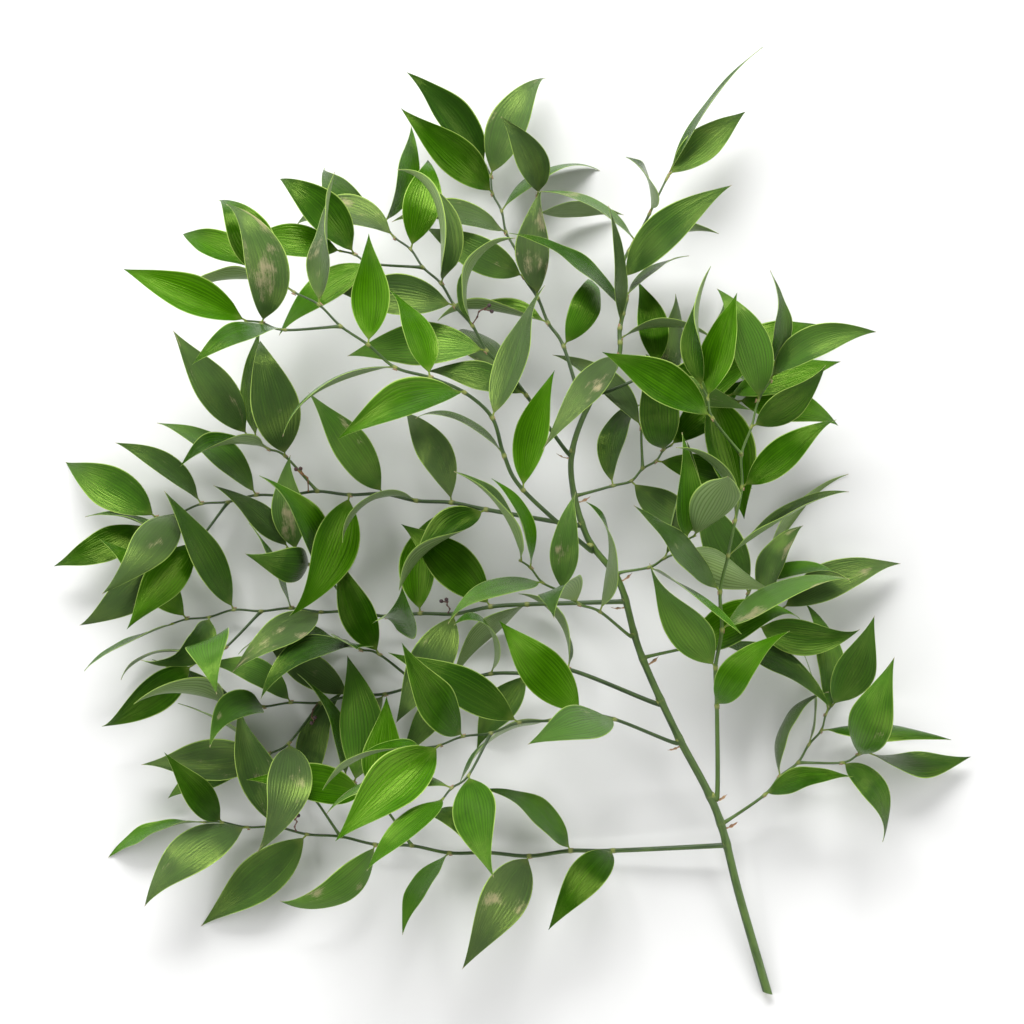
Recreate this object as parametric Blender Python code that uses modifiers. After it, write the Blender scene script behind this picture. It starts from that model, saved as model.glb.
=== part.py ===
"""One cut stem of soft ruscus, laid on a surface and seen from above.

The main stem runs from a slanted cut, low on the surface, up over a gentle arch to its leafy tip. Side sprays
leave it in turn to both sides. Each spray is a twig that turns a little at every leaf, with leaves on short
joints. A leaf takes the first of its seeded draws that is clear of every piece already placed, as leaves grow
into free air.
Metres, +Z up. The origin is on the surface, under the middle of the stem's footprint.
"""

import math
import random
from collections import namedtuple

import bmesh
import bpy
from mathutils import Quaternion, Vector
from mathutils.bvhtree import BVHTree

MM = 0.001

# Middle of the footprint as the routes below give it, in mm
MIDDLE = Vector((30.94, -3.12, 0.0))

# Main stem's middle line in mm, from the cut end to the fork where the tip spray begins
STEM_ROUTE = (
    (181, -282, 2.35),
    (164, -224, 9),
    (150, -174, 18),
    (126, -128, 28),
    (105, -82, 36),
    (93, -42, 41),
    (74, -15, 43),
    (65, 25, 44),
    (74, 58, 43),
    (90, 82, 41),
)
STEM_BASE_RADIUS = 2.6 * MM
STEM_FORK_RADIUS = 1.5 * MM
STEM_STEP = 14 * MM
STEM_ROUNDS = 3
TWIG_ROUNDS = 1
CUT_SLANT = math.radians(32)

# Twigs: radius at the root grows with length
TWIG_ROOT_RADIUS = 0.75 * MM
TWIG_RADIUS_PER_LENGTH = 0.0026
TWIG_END_RADIUS = 0.55 * MM
TWIG_KNEE = 2.2 * MM
TIP_PIECES = 12
SEAT_GAP = 0.3 * MM
ZIGZAG = 0.9 * MM
END_LEAF_SINK = 1.8 * MM
BARE_SHARE = 0.12
INTERNODE_TAPER = 1.25
SIDE_TWIG_ANGLE = math.radians(46)
SIDE_TWIG_RISE = Vector((0, 0, 0.16))
SIDE_TWIG_LEVELLING = 0.4
SIDE_TWIG_STRAIGHTENING = 0.5
SIDE_TWIG_BARE_SHARE = 0.3

# Leaves
BLADE_THICKNESS = 0.6 * MM
JOINT_LENGTH = 3.4 * MM
JOINT_SHARE = 0.055
JOINT_HALF_WIDTH = 0.65 * MM
BLADE_STEPS = 24
OUTLINE_SKEW = 0.75
OUTLINE_FINENESS = 1.12
TIP_TAPER = 0.32
TAPER_START = 0.45
CUP_LEVEL = 0.4
BLADE_ROWS = (0, 6, 13, 24)
BRACT_ROWS = (0, 10, 24)
BLADE_COLUMNS = (-1.0, 0.0, 1.0)
SURFACE_SOFTNESS = 1.0 * MM
# Leaves turn their upper side towards the light, and branch in a plane that is nearer to level
LIGHT = Vector((0.0, math.sin(math.radians(42)), math.cos(math.radians(42))))
BRANCHING = Vector((0.0, math.sin(math.radians(8)), math.cos(math.radians(8))))

# How a drawn leaf stands. A pair is a mean and a spread, in degrees or, for cup, in shares of the half width.
# Lengths run from lowest to highest as shares of the spray's mean, and widths as shares of the leaf's length.
LEAF_ANGLE = (46, 13)
END_LEAF_SPREAD = 14
LEAF_PITCH = (6, 17)
LEAF_ROLL_SPREAD = 31
LEAF_LENGTHS = (0.84, 1.22)
LEAF_WIDTHS = (0.28, 0.385)
LEAF_BEND = (52, 26)
LEAF_CURL = (20, 26)
LEAF_SICKLE_SPREAD = 18
LEAF_TWIST_SPREAD = 34
LEAF_CUP = (0.2, 0.2)

# How a leaf finds free air: it is drawn up to MOST_DRAWS times, more wildly as it goes on
SEED = 3878
MOST_DRAWS = 90
CALM_DRAWS = 40
CLEARANCE = 0.65 * MM
TWIG_CLEARANCE = 0.9 * MM
OWN_TWIG_CLEARANCE = 0.25 * MM
FREE_ROW = 6
DEEPEST_PRESS = 4 * MM
SHELL_SIDES = 6
WELD = 0.02 * MM

# Dry bracts and dried flower stalks
BRACT_LENGTH = 7.0 * MM
BRACT_WIDTH = 2.4 * MM
BRACT_BELOW = 4.2
STALK_SEED = SEED + 90
STALK_RADIUS = 0.42 * MM
STALK_KINKS = 4
STALK_SWING = (0.25, 0.5)
PEDICEL_SHARE = 0.24
BERRY_RADIUS = 1.25 * MM

# along: mm from the cut end. route: mm. blade: mean leaf length in mm. side: of the first leaf, 1 is left.
# twigs: small side twigs, each in place of a leaf, as (share of the leaves before it, length in mm, leaves)
Spray = namedtuple("Spray", "name along route leaves blade side twigs")
SPRAYS = (
    Spray(
        "spray_01_left", 93,
        ((130, -194, 12), (100, -196, 9), (25, -200, 7), (-50, -193, 7), (-105, -185, 7), (-150, -181, 9)),
        13, 68, 1, ((0.36, 58, 4), (0.55, 52, 3)),
    ),
    Spray(
        "spray_02_right", 106,
        ((180, -162, 19), (205, -137, 14), (220, -112, 8)),
        7, 62, -1, ((0.3, 44, 3),),
    ),
    Spray(
        "spray_03_right", 123,
        (
            (154, -146, 27), (148, -112, 40), (150, -74, 52), (152, -35, 58), (160, -5, 60), (165, 38, 59),
            (183, 84, 54),
        ),
        12, 64, -1, ((0.55, 46, 3),),
    ),
    Spray(
        "spray_04_left", 162,
        ((90, -120, 42), (50, -121, 56), (10, -130, 66), (-20, -137, 68)),
        8, 72, 1, ((0.5, 48, 3),),
    ),
    Spray(
        "spray_05_left", 187,
        ((85, -95, 26), (40, -93, 18), (0, -98, 12), (-50, -106, 9), (-100, -112, 8), (-140, -112, 10)),
        12, 66, -1, ((0.36, 58, 4), (0.6, 52, 3)),
    ),
    Spray("spray_06_right", 213, ((135, -80, 26), (165, -70, 15), (192, -55, 8)), 6, 66, 1, ((0.34, 44, 3),)),
    Spray("spray_07_left", 229, ((80, -60, 56), (55, -48, 72), (35, -32, 84)), 6, 68, -1, ()),
    Spray(
        "spray_08_left", 249,
        ((65, -50, 34), (20, -56, 23), (-30, -60, 15), (-80, -57, 11), (-130, -57, 10), (-170, -65, 12)),
        13, 66, 1, ((0.38, 56, 4), (0.6, 52, 3)),
    ),
    Spray("spray_09_right", 264, ((118, -30, 50), (136, -16, 58)), 5, 64, -1, ()),
    Spray(
        "spray_10_left", 287,
        ((45, -5, 60), (28, 27, 74), (10, 60, 84), (-35, 77, 92), (-80, 112, 92), (-112, 132, 86)),
        12, 70, -1, ((0.6, 54, 3),),
    ),
    Spray(
        "spray_11_left", 301,
        ((35, -1, 37), (0, 4, 28), (-50, 11, 19), (-100, 12, 14), (-150, 6, 11), (-188, -6, 12)),
        13, 66, 1, ((0.4, 56, 4), (0.62, 50, 3)),
    ),
    Spray("spray_12_right", 317, ((98, 17, 36), (125, 40, 23)), 6, 66, 1, ((0.34, 44, 3),)),
    Spray(
        "spray_13_left", 343,
        ((45, 60, 52), (20, 87, 58), (-5, 122, 58), (-30, 152, 51), (-50, 172, 44)),
        11, 66, 1, ((0.5, 50, 3),),
    ),
    Spray(
        "spray_14_left", 371,
        ((60, 97, 35), (40, 137, 27), (25, 177, 19), (15, 210, 12)),
        10, 64, -1, ((0.45, 46, 3),),
    ),
    Spray("spray_15_right", 384, ((118, 84, 32), (152, 90, 18)), 6, 64, -1, ((0.34, 44, 3),)),
)

# Tip spray, in line with the main stem, and its leaves as the stem carries them: share of the twig's length,
# where the leaf's end lies from its root in mm, width in mm, roll and bend in degrees
TIP_ROUTE = ((94, 94, 41), (94, 108, 39), (98, 125, 37), (96, 145, 35), (108, 168, 33), (125, 203, 30))
TipLeaf = namedtuple("TipLeaf", "share aim width roll bend")
TIP_LEAVES = (
    TipLeaf(0.985, (52, 73, 6), 17, -38, 24),
    TipLeaf(0.965, (47, 40, -10), 20, 25, 36),
    TipLeaf(0.78, (-16, 26, 30), 27, 8, 64),
    TipLeaf(0.62, (-58, 28, 8), 21, 20, 52),
    TipLeaf(0.58, (52, 8, -2), 18, -52, 60),
    TipLeaf(0.42, (64, 52, 20), 25, 16, 58),
    TipLeaf(0.34, (36, 26, -12), 16, -30, 40),
    TipLeaf(0.27, (-66, 44, 14), 21, 14, 46),
    TipLeaf(0.20, (-6, 62, 26), 15, 40, 16),
    TipLeaf(0.13, (56, -2, 6), 17, -48, 70),
    TipLeaf(0.06, (-44, -60, 42), 18, -12, 40),
)

# Dried flower stalks: spray they grow on, share of its length, heading, length in mm
STALKS = (
    ("spray_05_left", 0.70, (-0.3, -0.6, 0.75), 19),
    ("spray_01_left", 0.74, (0.1, 0.6, 0.8), 17),
    ("spray_13_left", 0.42, (0.75, 0.2, 0.6), 18),
    ("spray_11_left", 0.52, (-0.2, 0.7, 0.7), 20),
    ("spray_08_left", 0.30, (-0.1, 0.5, 0.85), 16),
)

# Sprays on whose main stem joint a papery bract still sits
BRACTED = (
    "spray_02_right", "spray_03_right", "spray_04_left", "spray_06_right", "spray_08_left",
    "spray_09_right", "spray_12_right", "spray_13_left",
)

LEAF_GREEN = (0.045, 0.145, 0.008, 1.0)
LEAF_ROUGHNESS = 0.34
STEM_GREEN = (0.09, 0.17, 0.035, 1.0)
STEM_ROUGHNESS = 0.45
BRACT_BROWN = (0.33, 0.17, 0.09, 1.0)
BRACT_ROUGHNESS = 0.75
STALK_BROWN = (0.10, 0.05, 0.045, 1.0)
STALK_ROUGHNESS = 0.7


class Line:
    """A smooth curve through its points, read by the distance along it."""

    SAMPLES = 12

    def __init__(self, points):
        ends = [points[0] * 2 - points[1], *points, points[-1] * 2 - points[-2]]
        self.samples = [points[0].copy()]
        for before, start, end, after in zip(ends, ends[1:], ends[2:], ends[3:]):
            for step in range(1, self.SAMPLES + 1):
                t = step / self.SAMPLES
                bend = (before * 2 - start * 5 + end * 4 - after) * (t * t)
                turn = (start * 3 - before - end * 3 + after) * (t * t * t)
                self.samples.append((start * 2 + (end - before) * t + bend + turn) * 0.5)
        self.reach = [0.0]
        for here, there in zip(self.samples, self.samples[1:]):
            self.reach.append(self.reach[-1] + (there - here).length)
        self.length = self.reach[-1]

    def at(self, distance):
        """The point and the direction of growth at a distance from the start."""
        last = len(self.samples) - 1
        index = 1
        while index < last and self.reach[index] < distance:
            index += 1
        here, there = self.samples[index - 1], self.samples[index]
        share = (distance - self.reach[index - 1]) / (self.reach[index] - self.reach[index - 1])
        return here.lerp(there, share), (there - here).normalized()


def placed(point):
    """A point of a route in mm, in the part's frame in metres."""
    return (Vector(point) - MIDDLE) * MM


def turned(vector, axis, angle):
    return Quaternion(axis, angle) @ vector


def rest_height(z, lowest):
    """Height of a point that the surface holds up: unchanged well above it, never under lowest."""
    share = (z - lowest) / SURFACE_SOFTNESS
    if share > 30:
        return z
    return lowest + SURFACE_SOFTNESS * math.log1p(math.exp(share))


def outline(share):
    """Half width of a leaf over its greatest: broadest before the middle, then drawn out to a point."""
    if share <= 0 or share >= 1:
        return 0.0
    taper = 1.0 - TIP_TAPER * max(0.0, (share - TAPER_START) / (1 - TAPER_START)) ** 1.3
    return math.sin(math.pi * share**OUTLINE_SKEW) ** OUTLINE_FINENESS * taper


# aim: direction from root to tip. face: towards the upper side. Angles in radians over the whole leaf.
Leaf = namedtuple("Leaf", "root aim face length width bend curl sickle twist cup")


def leaf_rows(leaf):
    """Stations of a leaf's middle surface from joint to tip: (point, across, upward, half width)."""
    face = (leaf.face - leaf.aim * leaf.face.dot(leaf.aim)).normalized()
    across = face.cross(leaf.aim)
    ahead = turned(leaf.aim, across, -leaf.bend * 0.5)
    face = turned(face, across, -leaf.bend * 0.5)
    ahead = turned(ahead, face, -leaf.sickle * 0.5)
    across = face.cross(ahead)
    rows = [(leaf.root.copy(), across.copy(), face.copy(), JOINT_HALF_WIDTH)]
    point = leaf.root + ahead * min(JOINT_LENGTH, leaf.length * JOINT_SHARE)
    for step in range(BLADE_STEPS + 1):
        share = step / BLADE_STEPS
        half = max(outline(share) * leaf.width * 0.5, JOINT_HALF_WIDTH * (1.0 - share))
        rows.append((point.copy(), across.copy(), face.copy(), half))
        curl = leaf.curl * 4.0 * max(0.0, share - 0.5)
        bend = (leaf.bend + curl) / BLADE_STEPS
        ahead = turned(ahead, across, bend)
        face = turned(face, across, bend)
        ahead = turned(ahead, face, leaf.sickle / BLADE_STEPS)
        face = turned(face, ahead, leaf.twist / BLADE_STEPS)
        across = face.cross(ahead)
        point = point + ahead * (leaf.length / BLADE_STEPS)
    return rows


def leaf_point(leaf, row, column):
    """A point of a leaf's middle surface, column from -1 at one edge to 1 at the other."""
    point, across, face, half = row
    lift = leaf.cup * half * (column * column - CUP_LEVEL)
    place = point + across * (half * column) + face * lift
    place.z = rest_height(place.z, BLADE_THICKNESS * 0.5)
    return place


def leaf_shell(leaf, rows, clearance, first=0):
    """The closed skin, as vertices and polygons, of a leaf thickened by a clearance on both sides."""
    chosen = [rows[1 + step] for step in BLADE_ROWS if step >= first]
    vertices, polygons = [], []
    for row in chosen:
        for offset in (-clearance, clearance):
            for column in BLADE_COLUMNS:
                vertices.append(leaf_point(leaf, row, column) + row[2] * offset)
    wide = len(BLADE_COLUMNS)
    ring = list(range(wide)) + list(range(2 * wide - 1, wide - 1, -1))
    for index in range(len(chosen) - 1):
        low, high = index * 2 * wide, (index + 1) * 2 * wide
        for here, there in zip(ring, ring[1:] + ring[:1]):
            polygons.append((low + here, low + there, high + there, high + here))
    polygons.append(tuple(ring))
    return vertices, polygons


def tube_shell(points, radius):
    """A skin of few sides round a line of points."""
    vertices, polygons = [], []
    for index, point in enumerate(points):
        ahead = points[min(index + 1, len(points) - 1)] - points[max(index - 1, 0)]
        across = ahead.orthogonal().normalized()
        for side in range(SHELL_SIDES):
            turn = side * 2 * math.pi / SHELL_SIDES
            vertices.append(point + turned(across, ahead.normalized(), turn) * radius)
    for index in range(len(points) - 1):
        for side in range(SHELL_SIDES):
            here, there = index * SHELL_SIDES + side, index * SHELL_SIDES + (side + 1) % SHELL_SIDES
            polygons.append((here, there, there + SHELL_SIDES, here + SHELL_SIDES))
    return vertices, polygons


class Crowd:
    """The skins placed so far, asked whether a new one would touch any."""

    def __init__(self):
        self.trees = []

    def add(self, shell):
        self.trees.append(BVHTree.FromPolygons(*shell))

    def clear_of(self, shell):
        tree = BVHTree.FromPolygons(*shell)
        return not any(tree.overlap(other) for other in self.trees)


def twig_radius(length):
    return TWIG_ROOT_RADIUS + TWIG_RADIUS_PER_LENGTH * length


# points: the twig's middle line. nodes: (point, direction, side) of each leaf. root: radius at the start
Twig = namedtuple("Twig", "points nodes root")


def grow_twig(start, knee, line, leaves, side, bare=BARE_SHARE):
    """A twig along a line that turns a little away from each leaf."""
    points = [start, knee] if knee is not None else [start]
    nodes = []
    for index in range(leaves):
        share = bare + (1 - bare) * (1 - (1 - (index + 1) / leaves) ** INTERNODE_TAPER)
        point, ahead = line.at(line.length * share)
        sideways = BRANCHING.cross(ahead).normalized() * side
        if index < leaves - 1:
            points.append(point + sideways * ZIGZAG)
            nodes.append((points[-1], ahead, side))
        else:
            points.append(point)
            nodes.append((point - ahead * END_LEAF_SINK, ahead, 0))
        side = -side
    return Twig(points, nodes, twig_radius(line.length))


def grow_spray(spray, stem):
    """All twigs of a spray: the one on the main stem first, then its small side twigs."""
    axis, growth = stem.at(spray.along * MM)
    first = placed(spray.route[0])
    outward = first - axis
    outward = (outward - growth * outward.dot(growth)).normalized()
    start = axis + outward * (stem_radius(stem, spray.along * MM) + SEAT_GAP)
    knee = start + outward * TWIG_KNEE
    line = Line([knee] + [placed(point) for point in spray.route])
    main = grow_twig(start, knee, line, spray.leaves, spray.side)
    twigs = [main]
    forks = []
    for share, length, leaves in spray.twigs:
        fork = main.nodes[round(share * spray.leaves)]
        point, ahead, side = fork
        sideways = BRANCHING.cross(ahead).normalized() * side
        out = (ahead * math.cos(SIDE_TWIG_ANGLE) + sideways * math.sin(SIDE_TWIG_ANGLE)).normalized()
        middle = point + (out + SIDE_TWIG_RISE) * (length * MM * 0.5)
        level = SIDE_TWIG_RISE * SIDE_TWIG_LEVELLING
        end = middle + (out + ahead * SIDE_TWIG_STRAIGHTENING + level).normalized() * (length * MM * 0.5)
        small = Line([point, middle, end])
        twigs.append(grow_twig(point, None, small, leaves, side, SIDE_TWIG_BARE_SHARE))
        forks.append(fork)
    twigs[0] = main._replace(nodes=[node for node in main.nodes if node not in forks])
    return twigs


def grow_tip(stem):
    """The middle line and twig of the tip spray, which goes on from the end of the main stem."""
    before, fork = (stem.at(distance)[0] for distance in stem_stations(stem)[-2:])
    growth = (fork - before).normalized()
    start = fork + growth * SEAT_GAP
    knee = start + growth * TWIG_KNEE
    line = Line([knee] + [placed(point) for point in TIP_ROUTE])
    points = [line.at(line.length * index / TIP_PIECES)[0] for index in range(TIP_PIECES + 1)]
    return line, Twig([start, *points], [], STEM_FORK_RADIUS)


def stem_radius(stem, distance):
    return STEM_BASE_RADIUS + (STEM_FORK_RADIUS - STEM_BASE_RADIUS) * distance / stem.length


def drawn_leaf(rng, root, ahead, side, mean, wildness):
    """One random leaf at a node: side 0 is the leaf that ends a twig."""
    angle = math.radians(rng.gauss(*LEAF_ANGLE) * side if side else rng.gauss(0, END_LEAF_SPREAD))
    pitch = math.radians(rng.gauss(LEAF_PITCH[0], LEAF_PITCH[1] * wildness))
    sideways = BRANCHING.cross(ahead).normalized()
    aim = ahead * math.cos(angle) + sideways * math.sin(angle)
    upward = (BRANCHING - aim * BRANCHING.dot(aim)).normalized()
    aim = (aim * math.cos(pitch) + upward * math.sin(pitch)).normalized()
    roll = math.radians(rng.gauss(0, LEAF_ROLL_SPREAD * wildness))
    face = turned((LIGHT - aim * LIGHT.dot(aim)).normalized(), aim, roll)
    length = mean * MM * rng.uniform(*LEAF_LENGTHS)
    return Leaf(
        root=root,
        aim=aim,
        face=face,
        length=length,
        width=length * rng.uniform(*LEAF_WIDTHS),
        bend=math.radians(rng.gauss(*LEAF_BEND)),
        curl=math.radians(max(0.0, rng.gauss(*LEAF_CURL))),
        sickle=math.radians(rng.gauss(0, LEAF_SICKLE_SPREAD)),
        twist=math.radians(rng.gauss(0, LEAF_TWIST_SPREAD)),
        cup=rng.gauss(*LEAF_CUP),
    )


def pressed_too_far(rows):
    return min(row[0].z for row in rows) < -DEEPEST_PRESS


def grow_leaves(spray, twigs, crowd, number):
    """The leaves of a spray, each at the first draw that is clear of what stands."""
    own = Crowd()
    for twig in twigs:
        own.add(tube_shell(twig.points, twig.root + OWN_TWIG_CLEARANCE))
    leaves = []
    for twig_index, twig in enumerate(twigs):
        for node_index, (root, ahead, side) in enumerate(twig.nodes):
            rng = random.Random(SEED + number * 1000 + twig_index * 100 + node_index)
            for draw in range(MOST_DRAWS):
                leaf = drawn_leaf(rng, root, ahead, side, spray.blade, 1 + draw / CALM_DRAWS)
                rows = leaf_rows(leaf)
                shell = leaf_shell(leaf, rows, CLEARANCE)
                if pressed_too_far(rows) or not crowd.clear_of(shell):
                    continue
                if not own.clear_of(leaf_shell(leaf, rows, CLEARANCE, FREE_ROW)):
                    continue
                crowd.add(shell)
                leaves.append(leaf)
                break
    return leaves


def tip_leaf(spec, root):
    """A leaf of the tip spray, from where its end lies."""
    aim = Vector(spec.aim).normalized()
    face = turned((LIGHT - aim * LIGHT.dot(aim)).normalized(), aim, math.radians(spec.roll))
    return Leaf(
        root=root,
        aim=aim,
        face=face,
        length=Vector(spec.aim).length * MM,
        width=spec.width * MM,
        bend=math.radians(spec.bend),
        curl=math.radians(12),
        sickle=0.0,
        twist=math.radians(spec.roll * 0.4),
        cup=0.16,
    )


def material(name, colour, roughness):
    made = bpy.data.materials.new(name)
    made.use_nodes = True
    shader = made.node_tree.nodes["Principled BSDF"]
    shader.inputs["Base Color"].default_value = colour
    shader.inputs["Roughness"].default_value = roughness
    shader.inputs["Metallic"].default_value = 0.0
    return made


def linked(name, data, collection):
    made = bpy.data.objects.new(name, data)
    collection.objects.link(made)
    return made


def evaluated_mesh(source):
    depsgraph = bpy.context.evaluated_depsgraph_get()
    depsgraph.update()
    return bpy.data.meshes.new_from_object(source.evaluated_get(depsgraph), depsgraph=depsgraph)


def tube(name, points, radii, collection, rounds=0):
    """A closed tube along points, from a curve whose caps are welded on: 4 sides, and more with rounds."""
    curve = bpy.data.curves.new(name, "CURVE")
    curve.dimensions = "3D"
    curve.bevel_depth = radii[0]
    curve.bevel_resolution = rounds
    curve.use_fill_caps = True
    spline = curve.splines.new("POLY")
    spline.points.add(len(points) - 1)
    for spot, point, radius in zip(spline.points, points, radii):
        spot.co = (*point, 1.0)
        spot.radius = radius / radii[0]
    source = linked(name, curve, collection)
    mesh = evaluated_mesh(source)
    bpy.data.objects.remove(source)
    bpy.data.curves.remove(curve)
    shape = bmesh.new()
    shape.from_mesh(mesh)
    bmesh.ops.remove_doubles(shape, verts=shape.verts, dist=WELD * 0.5)
    bmesh.ops.recalc_face_normals(shape, faces=shape.faces)
    shape.to_mesh(mesh)
    shape.free()
    return linked(name, mesh, collection)


def blade(name, leaf, collection, steps=BLADE_ROWS):
    """A leaf as a bent grid, pointed at the tip, with its thickness from Solidify."""
    rows = leaf_rows(leaf)
    chosen = [rows[0]] + [rows[1 + step] for step in steps]
    shape = bmesh.new()
    bmesh.ops.create_grid(shape, x_segments=len(BLADE_COLUMNS) - 1, y_segments=len(chosen) - 1, size=1.0)
    for vertex in shape.verts:
        column = vertex.co.x
        index = round((vertex.co.y + 1) / 2 * (len(chosen) - 1))
        vertex.co = leaf_point(leaf, chosen[index], column)
    bmesh.ops.remove_doubles(shape, verts=shape.verts, dist=WELD)
    bmesh.ops.triangulate(shape, faces=shape.faces)
    mesh = bpy.data.meshes.new(name)
    shape.to_mesh(mesh)
    shape.free()
    made = linked(name, mesh, collection)
    solidify = made.modifiers.new("Thickness", "SOLIDIFY")
    solidify.thickness = BLADE_THICKNESS
    solidify.offset = 0.0
    return made


def fuse(base, pieces):
    """Joins every object of a collection to the base in one body and removes them."""
    union = base.modifiers.new("Fuse", "BOOLEAN")
    union.operation = "UNION"
    union.operand_type = "COLLECTION"
    union.collection = pieces
    union.solver = "EXACT"
    mesh = evaluated_mesh(base)
    base.modifiers.clear()
    base.data = mesh
    for piece in list(pieces.objects):
        bpy.data.objects.remove(piece)
    bpy.data.collections.remove(pieces)


def twig_radii(twig):
    last = len(twig.points) - 1
    return [twig.root + (TWIG_END_RADIUS - twig.root) * index / last for index in range(last + 1)]


def build_spray(name, twigs, leaves, parts, look):
    pieces = bpy.data.collections.new(f"{name}_pieces")
    bpy.context.scene.collection.children.link(pieces)
    base = tube(name, twigs[0].points, twig_radii(twigs[0]), parts, TWIG_ROUNDS)
    for twig in twigs[1:]:
        tube(f"{name}_twig", twig.points, twig_radii(twig), pieces)
    for leaf in leaves:
        blade(f"{name}_leaf", leaf, pieces)
    fuse(base, pieces)
    base.data.materials.clear()
    base.data.materials.append(look)


def stem_stations(stem):
    count = round(stem.length / STEM_STEP)
    return [stem.length * index / count for index in range(count + 1)]


def build_stem(stem, parts, look):
    """The main stem, with its lower end cut on a slant."""
    stations = stem_stations(stem)
    points = [stem.at(distance)[0] for distance in stations]
    radii = [stem_radius(stem, distance) for distance in stations]
    made = tube("main_stem", points, radii, parts, STEM_ROUNDS)
    start, growth = stem.at(0.0)
    slope = Vector((0, 0, 1)).cross(growth).normalized()
    for vertex in made.data.vertices:
        offset = vertex.co - start
        if abs(offset.dot(growth)) < STEM_STEP * 0.2:
            vertex.co += growth * (offset.dot(slope) + STEM_BASE_RADIUS) * math.tan(CUT_SLANT)
    made.data.materials.clear()
    made.data.materials.append(look)


def bract_leaf(spray, stem):
    """A bract as a very small leaf, seated on the main stem just under a spray's root."""
    axis, growth = stem.at((spray.along - BRACT_BELOW) * MM)
    outward = placed(spray.route[0]) - axis
    outward = (outward - growth * outward.dot(growth)).normalized()
    root = axis + outward * (stem_radius(stem, spray.along * MM) + SEAT_GAP + JOINT_HALF_WIDTH * 0.4)
    return Leaf(
        root=root,
        aim=(outward * 0.9 + growth * 0.25).normalized(),
        face=(growth * 0.7 + LIGHT).normalized(),
        length=BRACT_LENGTH,
        width=BRACT_WIDTH,
        bend=math.radians(-40),
        curl=math.radians(11),
        sickle=0.0,
        twist=math.radians(17),
        cup=0.3,
    )


def stalk_lines(root, heading, length, rng):
    """A kinked stalk and its short side pedicel, each a list of points."""
    across = heading.orthogonal().normalized()
    line = [root]
    for _ in range(STALK_KINKS):
        swing = turned(across, heading, rng.uniform(0, 2 * math.pi)) * rng.uniform(*STALK_SWING)
        line.append(line[-1] + (heading + swing).normalized() * (length / STALK_KINKS))
    swing = turned(across, heading, rng.uniform(0, 2 * math.pi))
    fork = line[STALK_KINKS - 1]
    return [line, [fork, fork + (heading * 0.5 + swing).normalized() * length * PEDICEL_SHARE]]


def build_stalk(name, lines, parts, look):
    """A dried flower stalk with a shrivelled berry at each end."""
    pieces = bpy.data.collections.new(f"{name}_pieces")
    bpy.context.scene.collection.children.link(pieces)
    base = tube(name, lines[0], [STALK_RADIUS * 1.15] * len(lines[0]), parts)
    for line in lines[1:]:
        tube(f"{name}_pedicel", line, [STALK_RADIUS] * len(line), pieces)
    for line in lines:
        shape = bmesh.new()
        bmesh.ops.create_icosphere(shape, subdivisions=1, radius=BERRY_RADIUS)
        mesh = bpy.data.meshes.new(f"{name}_berry")
        shape.to_mesh(mesh)
        shape.free()
        linked(f"{name}_berry", mesh, pieces).location = line[-1]
    fuse(base, pieces)
    base.data.materials.clear()
    base.data.materials.append(look)


def clear_scene():
    for thing in list(bpy.data.objects):
        bpy.data.objects.remove(thing)


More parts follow.
